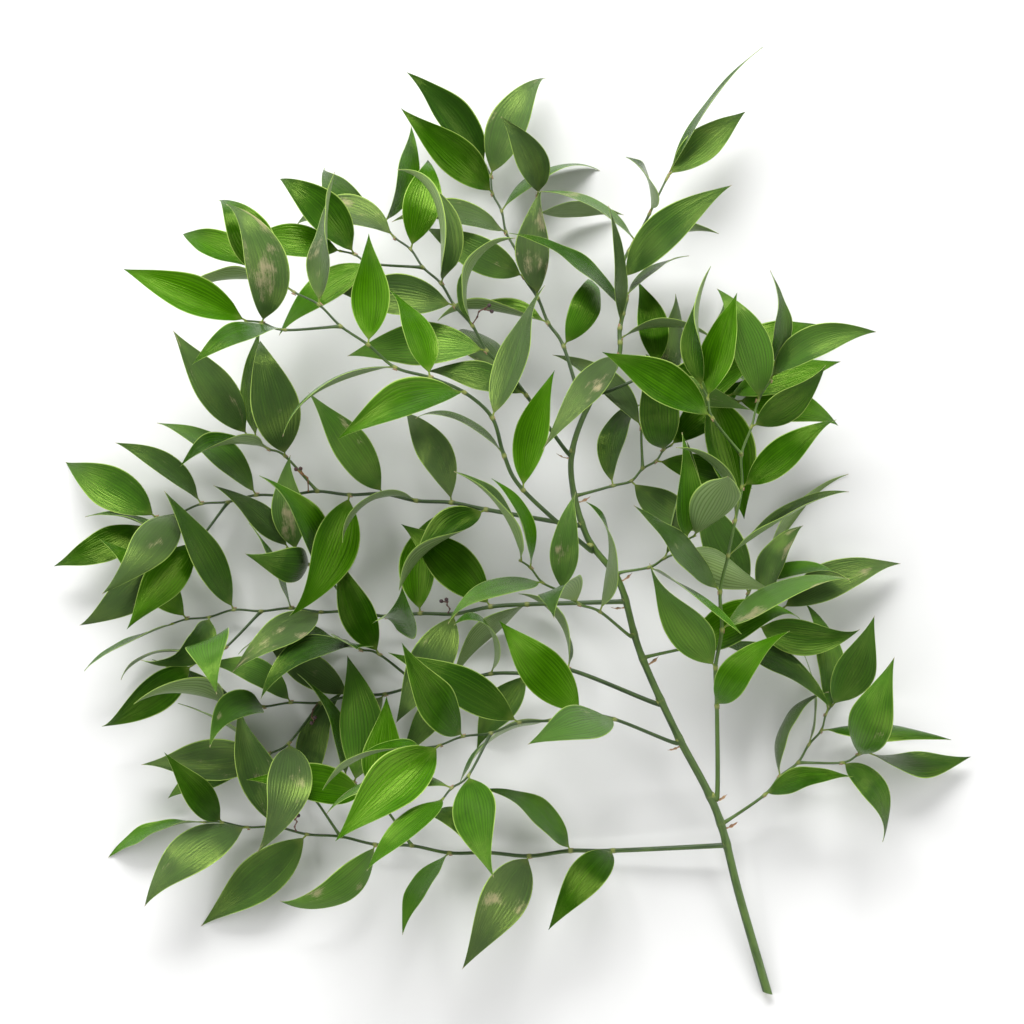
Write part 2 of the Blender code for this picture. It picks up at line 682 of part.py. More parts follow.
def build():
    clear_scene()
    parts = bpy.data.collections.new("ruscus_stem")
    bpy.context.scene.collection.children.link(parts)
    leaf_look = material("leaf_green", LEAF_GREEN, LEAF_ROUGHNESS)
    stem_look = material("stem_green", STEM_GREEN, STEM_ROUGHNESS)
    bract_look = material("bract_brown", BRACT_BROWN, BRACT_ROUGHNESS)
    stalk_look = material("stalk_brown", STALK_BROWN, STALK_ROUGHNESS)

    stem = Line([placed(point) for point in STEM_ROUTE])
    build_stem(stem, parts, stem_look)

    crowd = Crowd()
    crowd.add(tube_shell(stem.samples, STEM_BASE_RADIUS + TWIG_CLEARANCE))
    grown = {spray.name: grow_spray(spray, stem) for spray in SPRAYS}
    tip_line, tip_twig = grow_tip(stem)

    lines_of = {}
    for number, (name, share, heading, length) in enumerate(STALKS):
        rng = random.Random(STALK_SEED + number)
        twig = grown[name][0]
        place = share * (len(twig.points) - 1)
        here, there = twig.points[int(place)], twig.points[int(place) + 1]
        heading = Vector(heading).normalized()
        along = (there - here).normalized()
        outward = (heading - along * heading.dot(along)).normalized()
        root = here.lerp(there, place - int(place)) + outward * (twig.root + SEAT_GAP)
        lines_of[f"dried_flower_stalk_{number + 1}"] = stalk_lines(root, outward, length * MM, rng)
    for lines in lines_of.values():
        for line in lines:
            crowd.add(tube_shell(line, BERRY_RADIUS + CLEARANCE))
    bracted = [spray for spray in SPRAYS if spray.name in BRACTED]
    bracts = {f"papery_bract_{spray.name[6:8]}": bract_leaf(spray, stem) for spray in bracted}
    for leaf in bracts.values():
        crowd.add(leaf_shell(leaf, leaf_rows(leaf), CLEARANCE))

    tips = [tip_leaf(spec, tip_line.at(tip_line.length * spec.share)[0]) for spec in TIP_LEAVES]
    for leaf in tips:
        crowd.add(leaf_shell(leaf, leaf_rows(leaf), CLEARANCE))
    build_spray("spray_16_tip", [tip_twig], tips, parts, leaf_look)
    crowd.add(tube_shell(tip_twig.points, STEM_FORK_RADIUS + TWIG_CLEARANCE))

    for number, spray in enumerate(SPRAYS):
        others = Crowd()
        others.trees = list(crowd.trees)
        for name, twigs in grown.items():
            if name != spray.name:
                for twig in twigs:
                    others.add(tube_shell(twig.points, twig.root + TWIG_CLEARANCE))
        before = len(others.trees)
        leaves = grow_leaves(spray, grown[spray.name], others, number)
        crowd.trees += others.trees[before:]
        build_spray(spray.name, grown[spray.name], leaves, parts, leaf_look)

    for name, leaf in bracts.items():
        made = blade(name, leaf, parts, BRACT_ROWS)
        made.data.materials.append(bract_look)
    for name, lines in lines_of.items():
        build_stalk(name, lines, parts, stalk_look)


build()
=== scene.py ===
"""The looks of one cut stem of soft ruscus, laid on a pale surface and seen from above.

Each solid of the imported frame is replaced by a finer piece, grown by the same rule from the same numbers,
so that every twig and leaf stands where its solid stands. Metres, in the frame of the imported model.
"""

import random
from collections import namedtuple
from math import cos, exp, log1p, pi, radians, sin, sqrt, tan

import bmesh
import bpy
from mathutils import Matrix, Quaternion, Vector
from mathutils.bvhtree import BVHTree


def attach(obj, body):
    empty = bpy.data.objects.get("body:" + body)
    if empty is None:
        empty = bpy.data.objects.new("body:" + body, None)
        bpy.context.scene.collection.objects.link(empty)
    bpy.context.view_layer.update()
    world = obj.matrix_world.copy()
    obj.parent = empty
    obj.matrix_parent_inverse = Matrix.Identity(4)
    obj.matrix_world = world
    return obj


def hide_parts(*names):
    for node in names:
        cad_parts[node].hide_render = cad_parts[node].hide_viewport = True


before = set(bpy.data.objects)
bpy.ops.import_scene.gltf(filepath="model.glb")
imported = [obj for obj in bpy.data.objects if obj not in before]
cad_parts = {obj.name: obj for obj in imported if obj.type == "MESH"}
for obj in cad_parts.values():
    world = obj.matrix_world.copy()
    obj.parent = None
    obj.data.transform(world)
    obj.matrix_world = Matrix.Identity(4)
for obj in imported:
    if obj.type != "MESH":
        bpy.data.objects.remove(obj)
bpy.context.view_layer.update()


# The table top, the light and the camera.
# A pale matt surface among wide soft lights that stand low round it, the brightest on the far side. The
# camera looks down on the stem, with the cut end at the lower right.
FRAME_WIDTH = 0.594
FRAME_CENTRE = Vector((0.0, 0.002, 0.04))
CAMERA_ELEVATION = radians(85)
CAMERA_LENS = 85.0
CAMERA_SENSOR = 36.0
CAMERA_REACH = (0.05, 20.0)
TABLE_SIZE = 9.0
TABLE_WHITE = (0.79, 0.79, 0.785, 1.0)
TABLE_PALER = (0.805, 0.805, 0.80, 1.0)
TABLE_CLOUDS = 3.0
TABLE_ROUGHNESS = 0.85
TABLE_SHINE = 0.2
SKY_STRENGTH = 0.16
# azimuth from the right towards the far side and elevation in degrees, size in m, power in W
Softbox = namedtuple("Softbox", "name azimuth elevation size power")
SOFTBOX_DISTANCE = 2.1
SOFTBOXES = (
    Softbox("far_light", 97, 36, (1.8, 0.75), 60.0),
    Softbox("left_light", 178, 30, (2.0, 1.0), 28.0),
    Softbox("right_light", 8, 30, (2.0, 1.0), 22.0),
    Softbox("near_light", 268, 30, (2.2, 1.0), 17.0),
)


def node(tree, kind, values=None, **settings):
    """A shader node with a value for each named or numbered input: sockets are linked, others set."""
    made = tree.nodes.new(kind)
    for name, setting in settings.items():
        setattr(made, name, setting)
    for name, value in (values or {}).items():
        if isinstance(value, bpy.types.NodeSocket):
            tree.links.new(value, made.inputs[name])
        else:
            made.inputs[name].default_value = value
    return made


def mixed(share, one, other):
    """Colour one turning into the other as the socket share goes from 0 to 1."""
    return node(share.id_data, "ShaderNodeMix", {0: share, 6: one, 7: other}, data_type="RGBA").outputs[2]


def between(value, low, high, start=0.0, end=1.0):
    """start where a socket is below low, end where it is above high, with a smooth turn between them."""
    values = {"Value": value, "From Min": low, "From Max": high, "To Min": start, "To Max": end}
    return node(value.id_data, "ShaderNodeMapRange", values, interpolation_type="SMOOTHSTEP").outputs[0]


def painted(colour, over, value, low, high, most=1.0):
    """A colour with another over it: none of it below low, and most of it above high."""
    return mixed(between(value, low, high, 0.0, most), colour, over)


def speckle(vector, scale, detail=2.0, roughness=0.5):
    """The value of a noise texture."""
    values = {"Vector": vector, "Scale": scale, "Detail": detail, "Roughness": roughness}
    return node(vector.id_data, "ShaderNodeTexNoise", values).outputs["Fac"]


def new_look(name):
    """A new material, with its node tree and its Principled BSDF."""
    look = bpy.data.materials.new(name)
    look.use_nodes = True
    return look, look.node_tree, look.node_tree.nodes["Principled BSDF"]


def add_object(name, data):
    made = bpy.data.objects.new(name, data)
    bpy.context.scene.collection.objects.link(made)
    return made


def table_look():
    look, tree, shader = new_look("matt_table_top")
    spot = node(tree, "ShaderNodeTexCoord").outputs["Object"]
    clouds = speckle(spot, TABLE_CLOUDS, 3.0)
    colour = painted(TABLE_WHITE, TABLE_PALER, clouds, 0.3, 0.7)
    tree.links.new(colour, shader.inputs["Base Color"])
    shader.inputs["Roughness"].default_value = TABLE_ROUGHNESS
    shader.inputs["Specular IOR Level"].default_value = TABLE_SHINE
    return look


def build_table():
    shape = bmesh.new()
    bmesh.ops.create_grid(shape, x_segments=1, y_segments=1, size=TABLE_SIZE * 0.5)
    mesh = bpy.data.meshes.new("table_top")
    shape.to_mesh(mesh)
    shape.free()
    mesh.materials.append(table_look())
    add_object("table_top", mesh)


def add_softbox(box):
    lamp = bpy.data.lights.new(box.name, "AREA")
    lamp.shape = "RECTANGLE"
    lamp.size, lamp.size_y = box.size
    lamp.energy = box.power
    light = add_object(box.name, lamp)
    turn, rise = radians(box.azimuth), radians(box.elevation)
    towards = Vector((cos(turn) * cos(rise), sin(turn) * cos(rise), sin(rise)))
    light.location = FRAME_CENTRE + towards * SOFTBOX_DISTANCE
    light.rotation_mode = "QUATERNION"
    light.rotation_quaternion = (-towards).to_track_quat("-Z", "Y")


def add_camera():
    lens = bpy.data.cameras.new("camera")
    lens.lens, lens.sensor_width = CAMERA_LENS, CAMERA_SENSOR
    lens.clip_start, lens.clip_end = CAMERA_REACH
    camera = add_object("camera", lens)
    distance = FRAME_WIDTH * CAMERA_LENS / CAMERA_SENSOR
    back = Vector((0.0, -cos(CAMERA_ELEVATION), sin(CAMERA_ELEVATION)))
    camera.location = FRAME_CENTRE + back * distance
    camera.rotation_euler = (pi * 0.5 - CAMERA_ELEVATION, 0.0, 0.0)
    bpy.context.scene.camera = camera


build_table()
for softbox in SOFTBOXES:
    add_softbox(softbox)
add_camera()
sky = bpy.data.worlds.new("even_glow")
sky.use_nodes = True
glow = sky.node_tree.nodes["Background"]
glow.inputs["Color"].default_value = (1.0, 1.0, 1.0, 1.0)
glow.inputs["Strength"].default_value = SKY_STRENGTH
bpy.context.scene.world = sky
bpy.context.scene.view_settings.view_transform = "Standard"


# The main stem.
# A tough round stem, cut on a slant at the foot. It is mid green and faintly ridged, with a slight swelling
# at every joint where a side spray leaves it. One flank is painted paler: painted light, as if that side were
# lit.
MM = 0.001
MIDDLE = Vector((30.94, -3.12, 0.0))
STEM_ROUTE = (
    (181, -282, 2.35),
    (164, -224, 9),
    (150, -174, 18),
    (126, -128, 28),
    (105, -82, 36),
    (93, -42, 41),
    (74, -15, 43),
    (65, 25, 44),
    (74, 58, 43),
    (90, 82, 41),
)
STEM_BASE_RADIUS = 2.6 * MM
STEM_FORK_RADIUS = 1.5 * MM
CUT_SLANT = radians(32)
CUT_REACH = 9 * MM
# loops of the cut face: share of its radius, and how much cut shows there
CUT_LOOPS = ((1.0, 1.0), (0.86, 0.8), (0.8, 0.5), (0.4, 0.5), (0.05, 0.75))
STEM_SIDES = 24
STEM_RING = 2.2 * MM
STEM_SWELLING = 0.16
STEM_SWELLING_REACH = 2.6 * MM
STEM_JOINT_REACH = 1.56 * MM
STEM_JOINT_STRENGTH = 0.55
STEM_DARK_GREEN = (0.021, 0.050, 0.009, 1.0)
STEM_LIGHT_GREEN = (0.085, 0.155, 0.026, 1.0)
STEM_JOINT_YELLOW = (0.20, 0.22, 0.06, 1.0)
STEM_RIDGES = 9.0
FIBRE_STRETCH = 60.0
PITH = (0.50, 0.52, 0.27, 1.0)
CUT_RIM = (0.30, 0.36, 0.14, 1.0)
BARK_ROUGHNESS = (0.34, 0.50)
BARK_RELIEF = (0.7, 0.3 * MM)

# along: mm from the stem's cut end. route: mm. blade: mean leaf length in mm. side: of the first leaf, 1 is
# left. twigs: small side twigs in place of a leaf, as (share of the leaves before it, length in mm, leaves)
Spray = namedtuple("Spray", "name along route leaves blade side twigs")
SPRAYS = (
    Spray(
        "spray_01_left", 93,
        ((130, -194, 12), (100, -196, 9), (25, -200, 7), (-50, -193, 7), (-105, -185, 7), (-150, -181, 9)),
        13, 68, 1, ((0.36, 58, 4), (0.55, 52, 3)),
    ),
    Spray(
        "spray_02_right", 106,
        ((180, -162, 19), (205, -137, 14), (220, -112, 8)),
        7, 62, -1, ((0.3, 44, 3),),
    ),
    Spray(
        "spray_03_right", 123,
        (
            (154, -146, 27), (148, -112, 40), (150, -74, 52), (152, -35, 58), (160, -5, 60), (165, 38, 59),
            (183, 84, 54),
        ),
        12, 64, -1, ((0.55, 46, 3),),
    ),
    Spray(
        "spray_04_left", 162,
        ((90, -120, 42), (50, -121, 56), (10, -130, 66), (-20, -137, 68)),
        8, 72, 1, ((0.5, 48, 3),),
    ),
    Spray(
        "spray_05_left", 187,
        ((85, -95, 26), (40, -93, 18), (0, -98, 12), (-50, -106, 9), (-100, -112, 8), (-140, -112, 10)),
        12, 66, -1, ((0.36, 58, 4), (0.6, 52, 3)),
    ),
    Spray("spray_06_right", 213, ((135, -80, 26), (165, -70, 15), (192, -55, 8)), 6, 66, 1, ((0.34, 44, 3),)),
    Spray("spray_07_left", 229, ((80, -60, 56), (55, -48, 72), (35, -32, 84)), 6, 68, -1, ()),
    Spray(
        "spray_08_left", 249,
        ((65, -50, 34), (20, -56, 23), (-30, -60, 15), (-80, -57, 11), (-130, -57, 10), (-170, -65, 12)),
        13, 66, 1, ((0.38, 56, 4), (0.6, 52, 3)),
    ),
    Spray("spray_09_right", 264, ((118, -30, 50), (136, -16, 58)), 5, 64, -1, ()),
    Spray(
        "spray_10_left", 287,
        ((45, -5, 60), (28, 27, 74), (10, 60, 84), (-35, 77, 92), (-80, 112, 92), (-112, 132, 86)),
        12, 70, -1, ((0.6, 54, 3),),
    ),
    Spray(
        "spray_11_left", 301,
        ((35, -1, 37), (0, 4, 28), (-50, 11, 19), (-100, 12, 14), (-150, 6, 11), (-188, -6, 12)),
        13, 66, 1, ((0.4, 56, 4), (0.62, 50, 3)),
    ),
    Spray("spray_12_right", 317, ((98, 17, 36), (125, 40, 23)), 6, 66, 1, ((0.34, 44, 3),)),
    Spray(
        "spray_13_left", 343,
        ((45, 60, 52), (20, 87, 58), (-5, 122, 58), (-30, 152, 51), (-50, 172, 44)),
        11, 66, 1, ((0.5, 50, 3),),
    ),
    Spray(
        "spray_14_left", 371,
        ((60, 97, 35), (40, 137, 27), (25, 177, 19), (15, 210, 12)),
        10, 64, -1, ((0.45, 46, 3),),
    ),
    Spray("spray_15_right", 384, ((118, 84, 32), (152, 90, 18)), 6, 64, -1, ((0.34, 44, 3),)),
)


def curve_point(before, start, end, after, t):
    """A point between start and end, at t from 0 to 1, of a smooth curve through all four."""
    bend = (before * 2 - start * 5 + end * 4 - after) * (t * t)
    turn = (start * 3 - before - end * 3 + after) * (t * t * t)
    return (start * 2 + (end - before) * t + bend + turn) * 0.5


class Line:
    """A smooth curve through its points, read by the distance along it."""

    SAMPLES = 12

    def __init__(self, points):
        ends = [points[0] * 2 - points[1], *points, points[-1] * 2 - points[-2]]
        self.samples = [points[0].copy()]
        for before, start, end, after in zip(ends, ends[1:], ends[2:], ends[3:]):
            for step in range(1, self.SAMPLES + 1):
                self.samples.append(curve_point(before, start, end, after, step / self.SAMPLES))
        self.reach = [0.0]
        for here, there in zip(self.samples, self.samples[1:]):
            self.reach.append(self.reach[-1] + (there - here).length)
        self.length = self.reach[-1]

    def at(self, distance):
        """The point and the direction of growth at a distance from the start."""
        last = len(self.samples) - 1
        index = 1
        while index < last and self.reach[index] < distance:
            index += 1
        here, there = self.samples[index - 1], self.samples[index]
        share = (distance - self.reach[index - 1]) / (self.reach[index] - self.reach[index - 1])
        return here.lerp(there, share), (there - here).normalized()

    def joints(self, first):
        """How far along its own points lie, from the given one on."""
        return self.reach[self.SAMPLES * first :: self.SAMPLES]

    def stations(self, step):
        """Distances along the whole line, about a step apart."""
        count = round(self.length / step)
        return [self.length * index / count for index in range(count + 1)]


def placed(point):
    """A point of a route in mm, in the part's frame in metres."""
    return (Vector(point) - MIDDLE) * MM


def square_to(axis, vector):
    """The direction of a vector once what runs along an axis is taken off it."""
    return (vector - axis * vector.dot(axis)).normalized()


def stem_radius(stem, distance):
    return STEM_BASE_RADIUS + (STEM_FORK_RADIUS - STEM_BASE_RADIUS) * distance / stem.length


def faces_between(first, wide, count):
    """Faces that join each of count loops of wide points to the next, counting points from first."""
    faces = []
    for low in range(first, first + wide * (count - 1), wide):
        for side in range(wide):
            there = (side + 1) % wide
            faces.append((low + side, low + there, low + wide + there, low + wide + side))
    return faces


class Skin:
    """The surface of a piece in the making. Each point also holds two vectors that the materials read."""

    def __init__(self):
        self.points = []
        self.faces = []
        self.finishes = []
        self.place = []
        self.kind = []

    def add_loops(self, loops, finish, cap_start=True):
        """Loops of the same number of (point, place, kind), joined one to the next."""
        first = len(self.points)
        wide = len(loops[0])
        for loop in loops:
            for point, place, kind in loop:
                self.points.append(point)
                self.place.append(place)
                self.kind.append(kind)
        faces = faces_between(first, wide, len(loops))
        if cap_start:
            faces.append(tuple(range(first + wide - 1, first - 1, -1)))
        last = first + (len(loops) - 1) * wide
        faces.append(tuple(range(last, last + wide)))
        self.faces += faces
        self.finishes += [finish] * len(faces)

    def piece(self, name, looks):
        mesh = bpy.data.meshes.new(name)
        mesh.from_pydata(self.points, [], self.faces)
        for title, values in (("place", self.place), ("kind", self.kind)):
            attribute = mesh.attributes.new(title, "FLOAT_VECTOR", "POINT")
            attribute.data.foreach_set("vector", [number for value in values for number in value])
        mesh.polygons.foreach_set("material_index", self.finishes)
        mesh.polygons.foreach_set("use_smooth", [True] * len(self.faces))
        for look in looks:
            mesh.materials.append(look)
        shape = bmesh.new()
        shape.from_mesh(mesh)
        bmesh.ops.recalc_face_normals(shape, faces=shape.faces)
        shape.to_mesh(mesh)
        shape.free()
        return add_object(name, mesh)


def swelling(distance, joints, height, reach):
    """How much wider a stem is near its joints, as a share of its radius."""
    return sum(height * exp(-(((distance - joint) / reach) ** 2)) for joint in joints)


def round_loops(line, distances, radius_at, joint_at, tone, sides):
    """Loops round a line. place: the turn round it and the distance. kind: the joint, the cut, the tone."""
    loops = []
    across = None
    for distance in distances:
        point, ahead = line.at(distance)
        if across is None:
            across = ahead.orthogonal()
        across = square_to(ahead, across)
        beside = ahead.cross(across)
        loop = []
        for side in range(sides):
            turn = 2 * pi * side / sides
            out = across * cos(turn) + beside * sin(turn)
            place = (cos(turn), sin(turn), distance)
            loop.append((point + out * radius_at(distance), place, (joint_at(distance), 0.0, tone)))
        loops.append(loop)
    return loops


def math_of(operation, *values):
    """The result of a Math node in the tree of its first value, a socket."""
    tree = values[0].id_data
    return node(tree, "ShaderNodeMath", dict(enumerate(values)), operation=operation).outputs[0]


def times(one, other):
    return math_of("MULTIPLY", one, other)


def plus(one, other):
    return math_of("ADD", one, other)


def spot_of(x, y, z):
    """The place in a texture that three numbers give."""
    return node(x.id_data, "ShaderNodeCombineXYZ", {0: x, 1: y, 2: z}).outputs[0]


def new_group(name, inputs, outputs):
    """A group of shader nodes with named numbers going in and out, and what is given to it."""
    group = bpy.data.node_groups.new(name, "ShaderNodeTree")
    for title in inputs:
        group.interface.new_socket(title, in_out="INPUT", socket_type="NodeSocketFloat")
    for title in outputs:
        group.interface.new_socket(title, in_out="OUTPUT", socket_type="NodeSocketFloat")
    return group, group.nodes.new("NodeGroupInput").outputs


def fibres_group():
    """Fine lines that run along a stem: their height, and a slow mottling."""
    inputs = ("Around X", "Around Y", "Along", "Lines", "Stretch")
    group, given = new_group("lengthwise_fibres", inputs, ("Height", "Mottling"))
    turn_x, turn_y, lines = given["Around X"], given["Around Y"], given["Lines"]
    length = times(given["Along"], given["Stretch"])
    fine = spot_of(times(turn_x, lines), times(turn_y, lines), length)
    height = speckle(fine, 1.0, 3.0, 0.6)
    mottling = speckle(spot_of(turn_x, turn_y, length), 1.1, 3.0, 0.55)
    node(group, "NodeGroupOutput", {"Height": height, "Mottling": mottling})
    return group


def grouped(tree, group, values):
    """What a group of shader nodes puts out in a look."""
    return node(tree, "ShaderNodeGroup", values, node_tree=group).outputs


def fibres_along(turn_x, turn_y, along, lines, stretch):
    """The height and the mottling of lengthwise fibres at a place on a stem."""
    values = {"Around X": turn_x, "Around Y": turn_y, "Along": along, "Lines": lines, "Stretch": stretch}
    return grouped(along.id_data, lengthwise_fibres, values)


def read_place(tree):
    """The three numbers of place and the three of kind, as sockets."""
    found = []
    for title in ("place", "kind"):
        read = node(tree, "ShaderNodeAttribute", attribute_name=title).outputs["Vector"]
        found += list(node(tree, "ShaderNodeSeparateXYZ", {0: read}).outputs)
    return found


def dress_shader(shader, colour, roughness, height, relief):
    """Gives a look its colour, its roughness, and a relief of a strength and a depth."""
    tree = shader.id_data
    bump = node(tree, "ShaderNodeBump", {"Height": height, "Strength": relief[0], "Distance": relief[1]})
    tree.links.new(colour, shader.inputs["Base Color"])
    tree.links.new(roughness, shader.inputs["Roughness"])
    tree.links.new(bump.outputs["Normal"], shader.inputs["Normal"])


def stem_look(name, dark, light, joint_colour, ridges):
    """Green bark: ridged along, painted light on one flank, yellower at the joints, pale pith where it is
    cut.
    """
    look, tree, shader = new_look(name)
    turn_x, turn_y, along, joint, cut, tone = read_place(tree)
    fibres = fibres_along(turn_x, turn_y, along, ridges, FIBRE_STRETCH)
    # painted light: one flank, where turn_x is high, is painted paler as if lit
    patch = plus(fibres["Mottling"], times(turn_x, 0.16))
    patch = plus(patch, times(tone, 0.12))
    colour = painted(dark, light, patch, 0.35, 0.8)
    colour = painted(colour, light, fibres["Height"], 0.56, 0.75, 0.4)
    colour = painted(colour, joint_colour, joint, 0.25, 0.95, 0.85)
    colour = painted(colour, PITH, cut, 0.2, 0.5)
    colour = painted(colour, CUT_RIM, cut, 0.75, 1.0, 0.7)
    roughness = between(fibres["Mottling"], 0.3, 0.8, *BARK_ROUGHNESS)
    dress_shader(shader, colour, roughness, fibres["Height"], BARK_RELIEF)
    return look


def build_main_stem():
    line = Line([placed(point) for point in STEM_ROUTE])
    joints = [spray.along * MM for spray in SPRAYS]

    def radius_at(distance):
        swollen = swelling(distance, joints, STEM_SWELLING, STEM_SWELLING_REACH)
        return stem_radius(line, distance) * (1 + swollen)

    def joint_at(distance):
        return STEM_JOINT_STRENGTH * min(1.0, swelling(distance, joints, 1.0, STEM_JOINT_REACH))

    distances = line.stations(STEM_RING)
    loops = round_loops(line, distances, radius_at, joint_at, 0.5, STEM_SIDES)
    start, growth = line.at(0.0)
    slope = Vector((0, 0, 1)).cross(growth).normalized()
    for distance, loop in zip(distances, loops):
        share = max(0.0, 1 - distance / CUT_REACH)
        for index, (point, place, kind) in enumerate(loop):
            offset = (point - start).dot(slope) + STEM_BASE_RADIUS
            loop[index] = (point + growth * (offset * tan(CUT_SLANT) * share), place, kind)
    skin = Skin()
    skin.add_loops(loops, 0, cap_start=False)
    centre = sum((point for point, _, _ in loops[0]), Vector()) / STEM_SIDES
    face = []
    for share, cut in CUT_LOOPS:
        face.append([(centre.lerp(point, share), place, (0.0, cut, 0.5)) for point, place, _ in loops[0]])
    skin.add_loops(face, 0, cap_start=False)
    piece = skin.piece("cut_main_stem", [main_stem_look])
    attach(piece, "root")
    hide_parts("main_stem")
    return line


lengthwise_fibres = fibres_group()
main_stem_look = stem_look(
    "ridged_green_stem", STEM_DARK_GREEN, STEM_LIGHT_GREEN, STEM_JOINT_YELLOW, STEM_RIDGES
)
stem = build_main_stem()


# The side twigs.
# Each spray is a thin green twig that leaves the main stem at a joint and turns a little at every leaf.
# Its joints are swollen and yellowish, and small side twigs grow from some of them.
TWIG_ROOT_RADIUS = 0.75 * MM
TWIG_RADIUS_PER_LENGTH = 0.0026
TWIG_END_RADIUS = 0.55 * MM
TWIG_KNEE = 2.2 * MM
SOLID_STEM_STEP = 14 * MM
TIP_PIECES = 12
SEAT_GAP = 0.3 * MM
ZIGZAG = 0.9 * MM
END_LEAF_SINK = 1.8 * MM
BARE_SHARE = 0.12
INTERNODE_TAPER = 1.25
SIDE_TWIG_ANGLE = radians(46)
SIDE_TWIG_RISE = Vector((0, 0, 0.16))
SIDE_TWIG_LEVELLING = 0.4
SIDE_TWIG_STRAIGHTENING = 0.5
SIDE_TWIG_BARE_SHARE = 0.3
TIP_ROUTE = ((94, 94, 41), (94, 108, 39), (98, 125, 37), (96, 145, 35), (108, 168, 33), (125, 203, 30))
BRANCHING = Vector((0.0, sin(radians(8)), cos(radians(8))))
TWIG_SIDES = 12
TWIG_RING = 1.3 * MM
TWIG_SWELLING = 0.5
TWIG_SWELLING_REACH = 1.25 * MM
TWIG_JOINT_REACH = 1.625 * MM
TWIG_COLLAR = 0.7
TWIG_SINK = 1.2 * MM
TWIG_DARK_GREEN = (0.023, 0.054, 0.009, 1.0)
TWIG_LIGHT_GREEN = (0.085, 0.16, 0.024, 1.0)
TWIG_JOINT_YELLOW = (0.27, 0.30, 0.07, 1.0)
TWIG_RIDGES = 5.0
# the order of the looks in a spray
LEAF_FINISH, TWIG_FINISH, SCALE_FINISH = range(3)

# points: the twig's middle line. nodes: (point, direction, side) of each leaf. root: radius at the start
Twig = namedtuple("Twig", "points nodes root")


def grow_twig(start, knee, line, leaves, side, bare=BARE_SHARE):
    """A twig along a line that turns a little away from each leaf."""
    points = [start, knee] if knee is not None else [start]
    nodes = []
    for index in range(leaves):
        share = bare + (1 - bare) * (1 - (1 - (index + 1) / leaves) ** INTERNODE_TAPER)
        point, ahead = line.at(line.length * share)
        sideways = BRANCHING.cross(ahead).normalized() * side
        if index < leaves - 1:
            points.append(point + sideways * ZIGZAG)
            nodes.append((points[-1], ahead, side))
        else:
            points.append(point)
            nodes.append((point - ahead * END_LEAF_SINK, ahead, 0))
        side = -side
    return Twig(points, nodes, TWIG_ROOT_RADIUS + TWIG_RADIUS_PER_LENGTH * line.length)


def grow_spray(spray):
    """All twigs of a spray: the one on the main stem first, then its small side twigs."""
    axis, growth = stem.at(spray.along * MM)
    outward = square_to(growth, placed(spray.route[0]) - axis)
    start = axis + outward * (stem_radius(stem, spray.along * MM) + SEAT_GAP)
    knee = start + outward * TWIG_KNEE
    line = Line([knee] + [placed(point) for point in spray.route])
    main = grow_twig(start, knee, line, spray.leaves, spray.side)
    twigs = [main]
    forks = []
    for share, length, leaves in spray.twigs:
        fork = main.nodes[round(share * spray.leaves)]
        point, ahead, side = fork
        sideways = BRANCHING.cross(ahead).normalized() * side
        out = (ahead * cos(SIDE_TWIG_ANGLE) + sideways * sin(SIDE_TWIG_ANGLE)).normalized()
        middle = point + (out + SIDE_TWIG_RISE) * (length * MM * 0.5)
        level = SIDE_TWIG_RISE * SIDE_TWIG_LEVELLING
        end = middle + (out + ahead * SIDE_TWIG_STRAIGHTENING + level).normalized() * (length * MM * 0.5)
        small = Line([point, middle, end])
        twigs.append(grow_twig(point, None, small, leaves, side, SIDE_TWIG_BARE_SHARE))
        forks.append(fork)
    twigs[0] = main._replace(nodes=[joint for joint in main.nodes if joint not in forks])
    return twigs


def grow_tip():
    """The middle line and twig of the tip spray, which goes on from the end of the main stem."""
    before, fork = (stem.at(distance)[0] for distance in stem.stations(SOLID_STEM_STEP)[-2:])
    growth = (fork - before).normalized()
    start = fork + growth * SEAT_GAP
    knee = start + growth * TWIG_KNEE
    line = Line([knee] + [placed(point) for point in TIP_ROUTE])
    points = [line.at(line.length * index / TIP_PIECES)[0] for index in range(TIP_PIECES + 1)]
    return line, Twig([start, *points], [], STEM_FORK_RADIUS)


def add_twig(skin, line, joints, root_radius, tone, collar):
    """A twig as a finely ringed tube, swollen at its joints and flared at its root by collar."""

    def radius_at(distance):
        plain = root_radius + (TWIG_END_RADIUS - root_radius) * distance / line.length
        flare = collar * exp(-distance / TWIG_KNEE)
        height = TWIG_SWELLING * min(1.0, TWIG_ROOT_RADIUS / plain)
        return plain * (1 + flare + swelling(distance, joints, height, TWIG_SWELLING_REACH))

    def joint_at(distance):
        return min(1.0, swelling(distance, [0.0, *joints], 1.0, TWIG_JOINT_REACH))

    distances = line.stations(TWIG_RING)
    skin.add_loops(round_loops(line, distances, radius_at, joint_at, tone, TWIG_SIDES), TWIG_FINISH)


def add_twigs(skin, twigs, rng):
    """All twigs of a spray. The first has its root in the main stem, the others in the first."""
    for index, twig in enumerate(twigs):
        first_joint = 1 if index else 2
        points = list(twig.points)
        if not index:
            points[0] = points[0] - (points[1] - points[0]).normalized() * TWIG_SINK
        line = Line(points)
        add_twig(skin, line, line.joints(first_joint), twig.root, rng.random(), TWIG_COLLAR)


grown = {spray.name: grow_spray(spray) for spray in SPRAYS}
tip_line, tip_twig = grow_tip()
twig_look = stem_look("fresh_green_twig", TWIG_DARK_GREEN, TWIG_LIGHT_GREEN, TWIG_JOINT_YELLOW, TWIG_RIDGES)


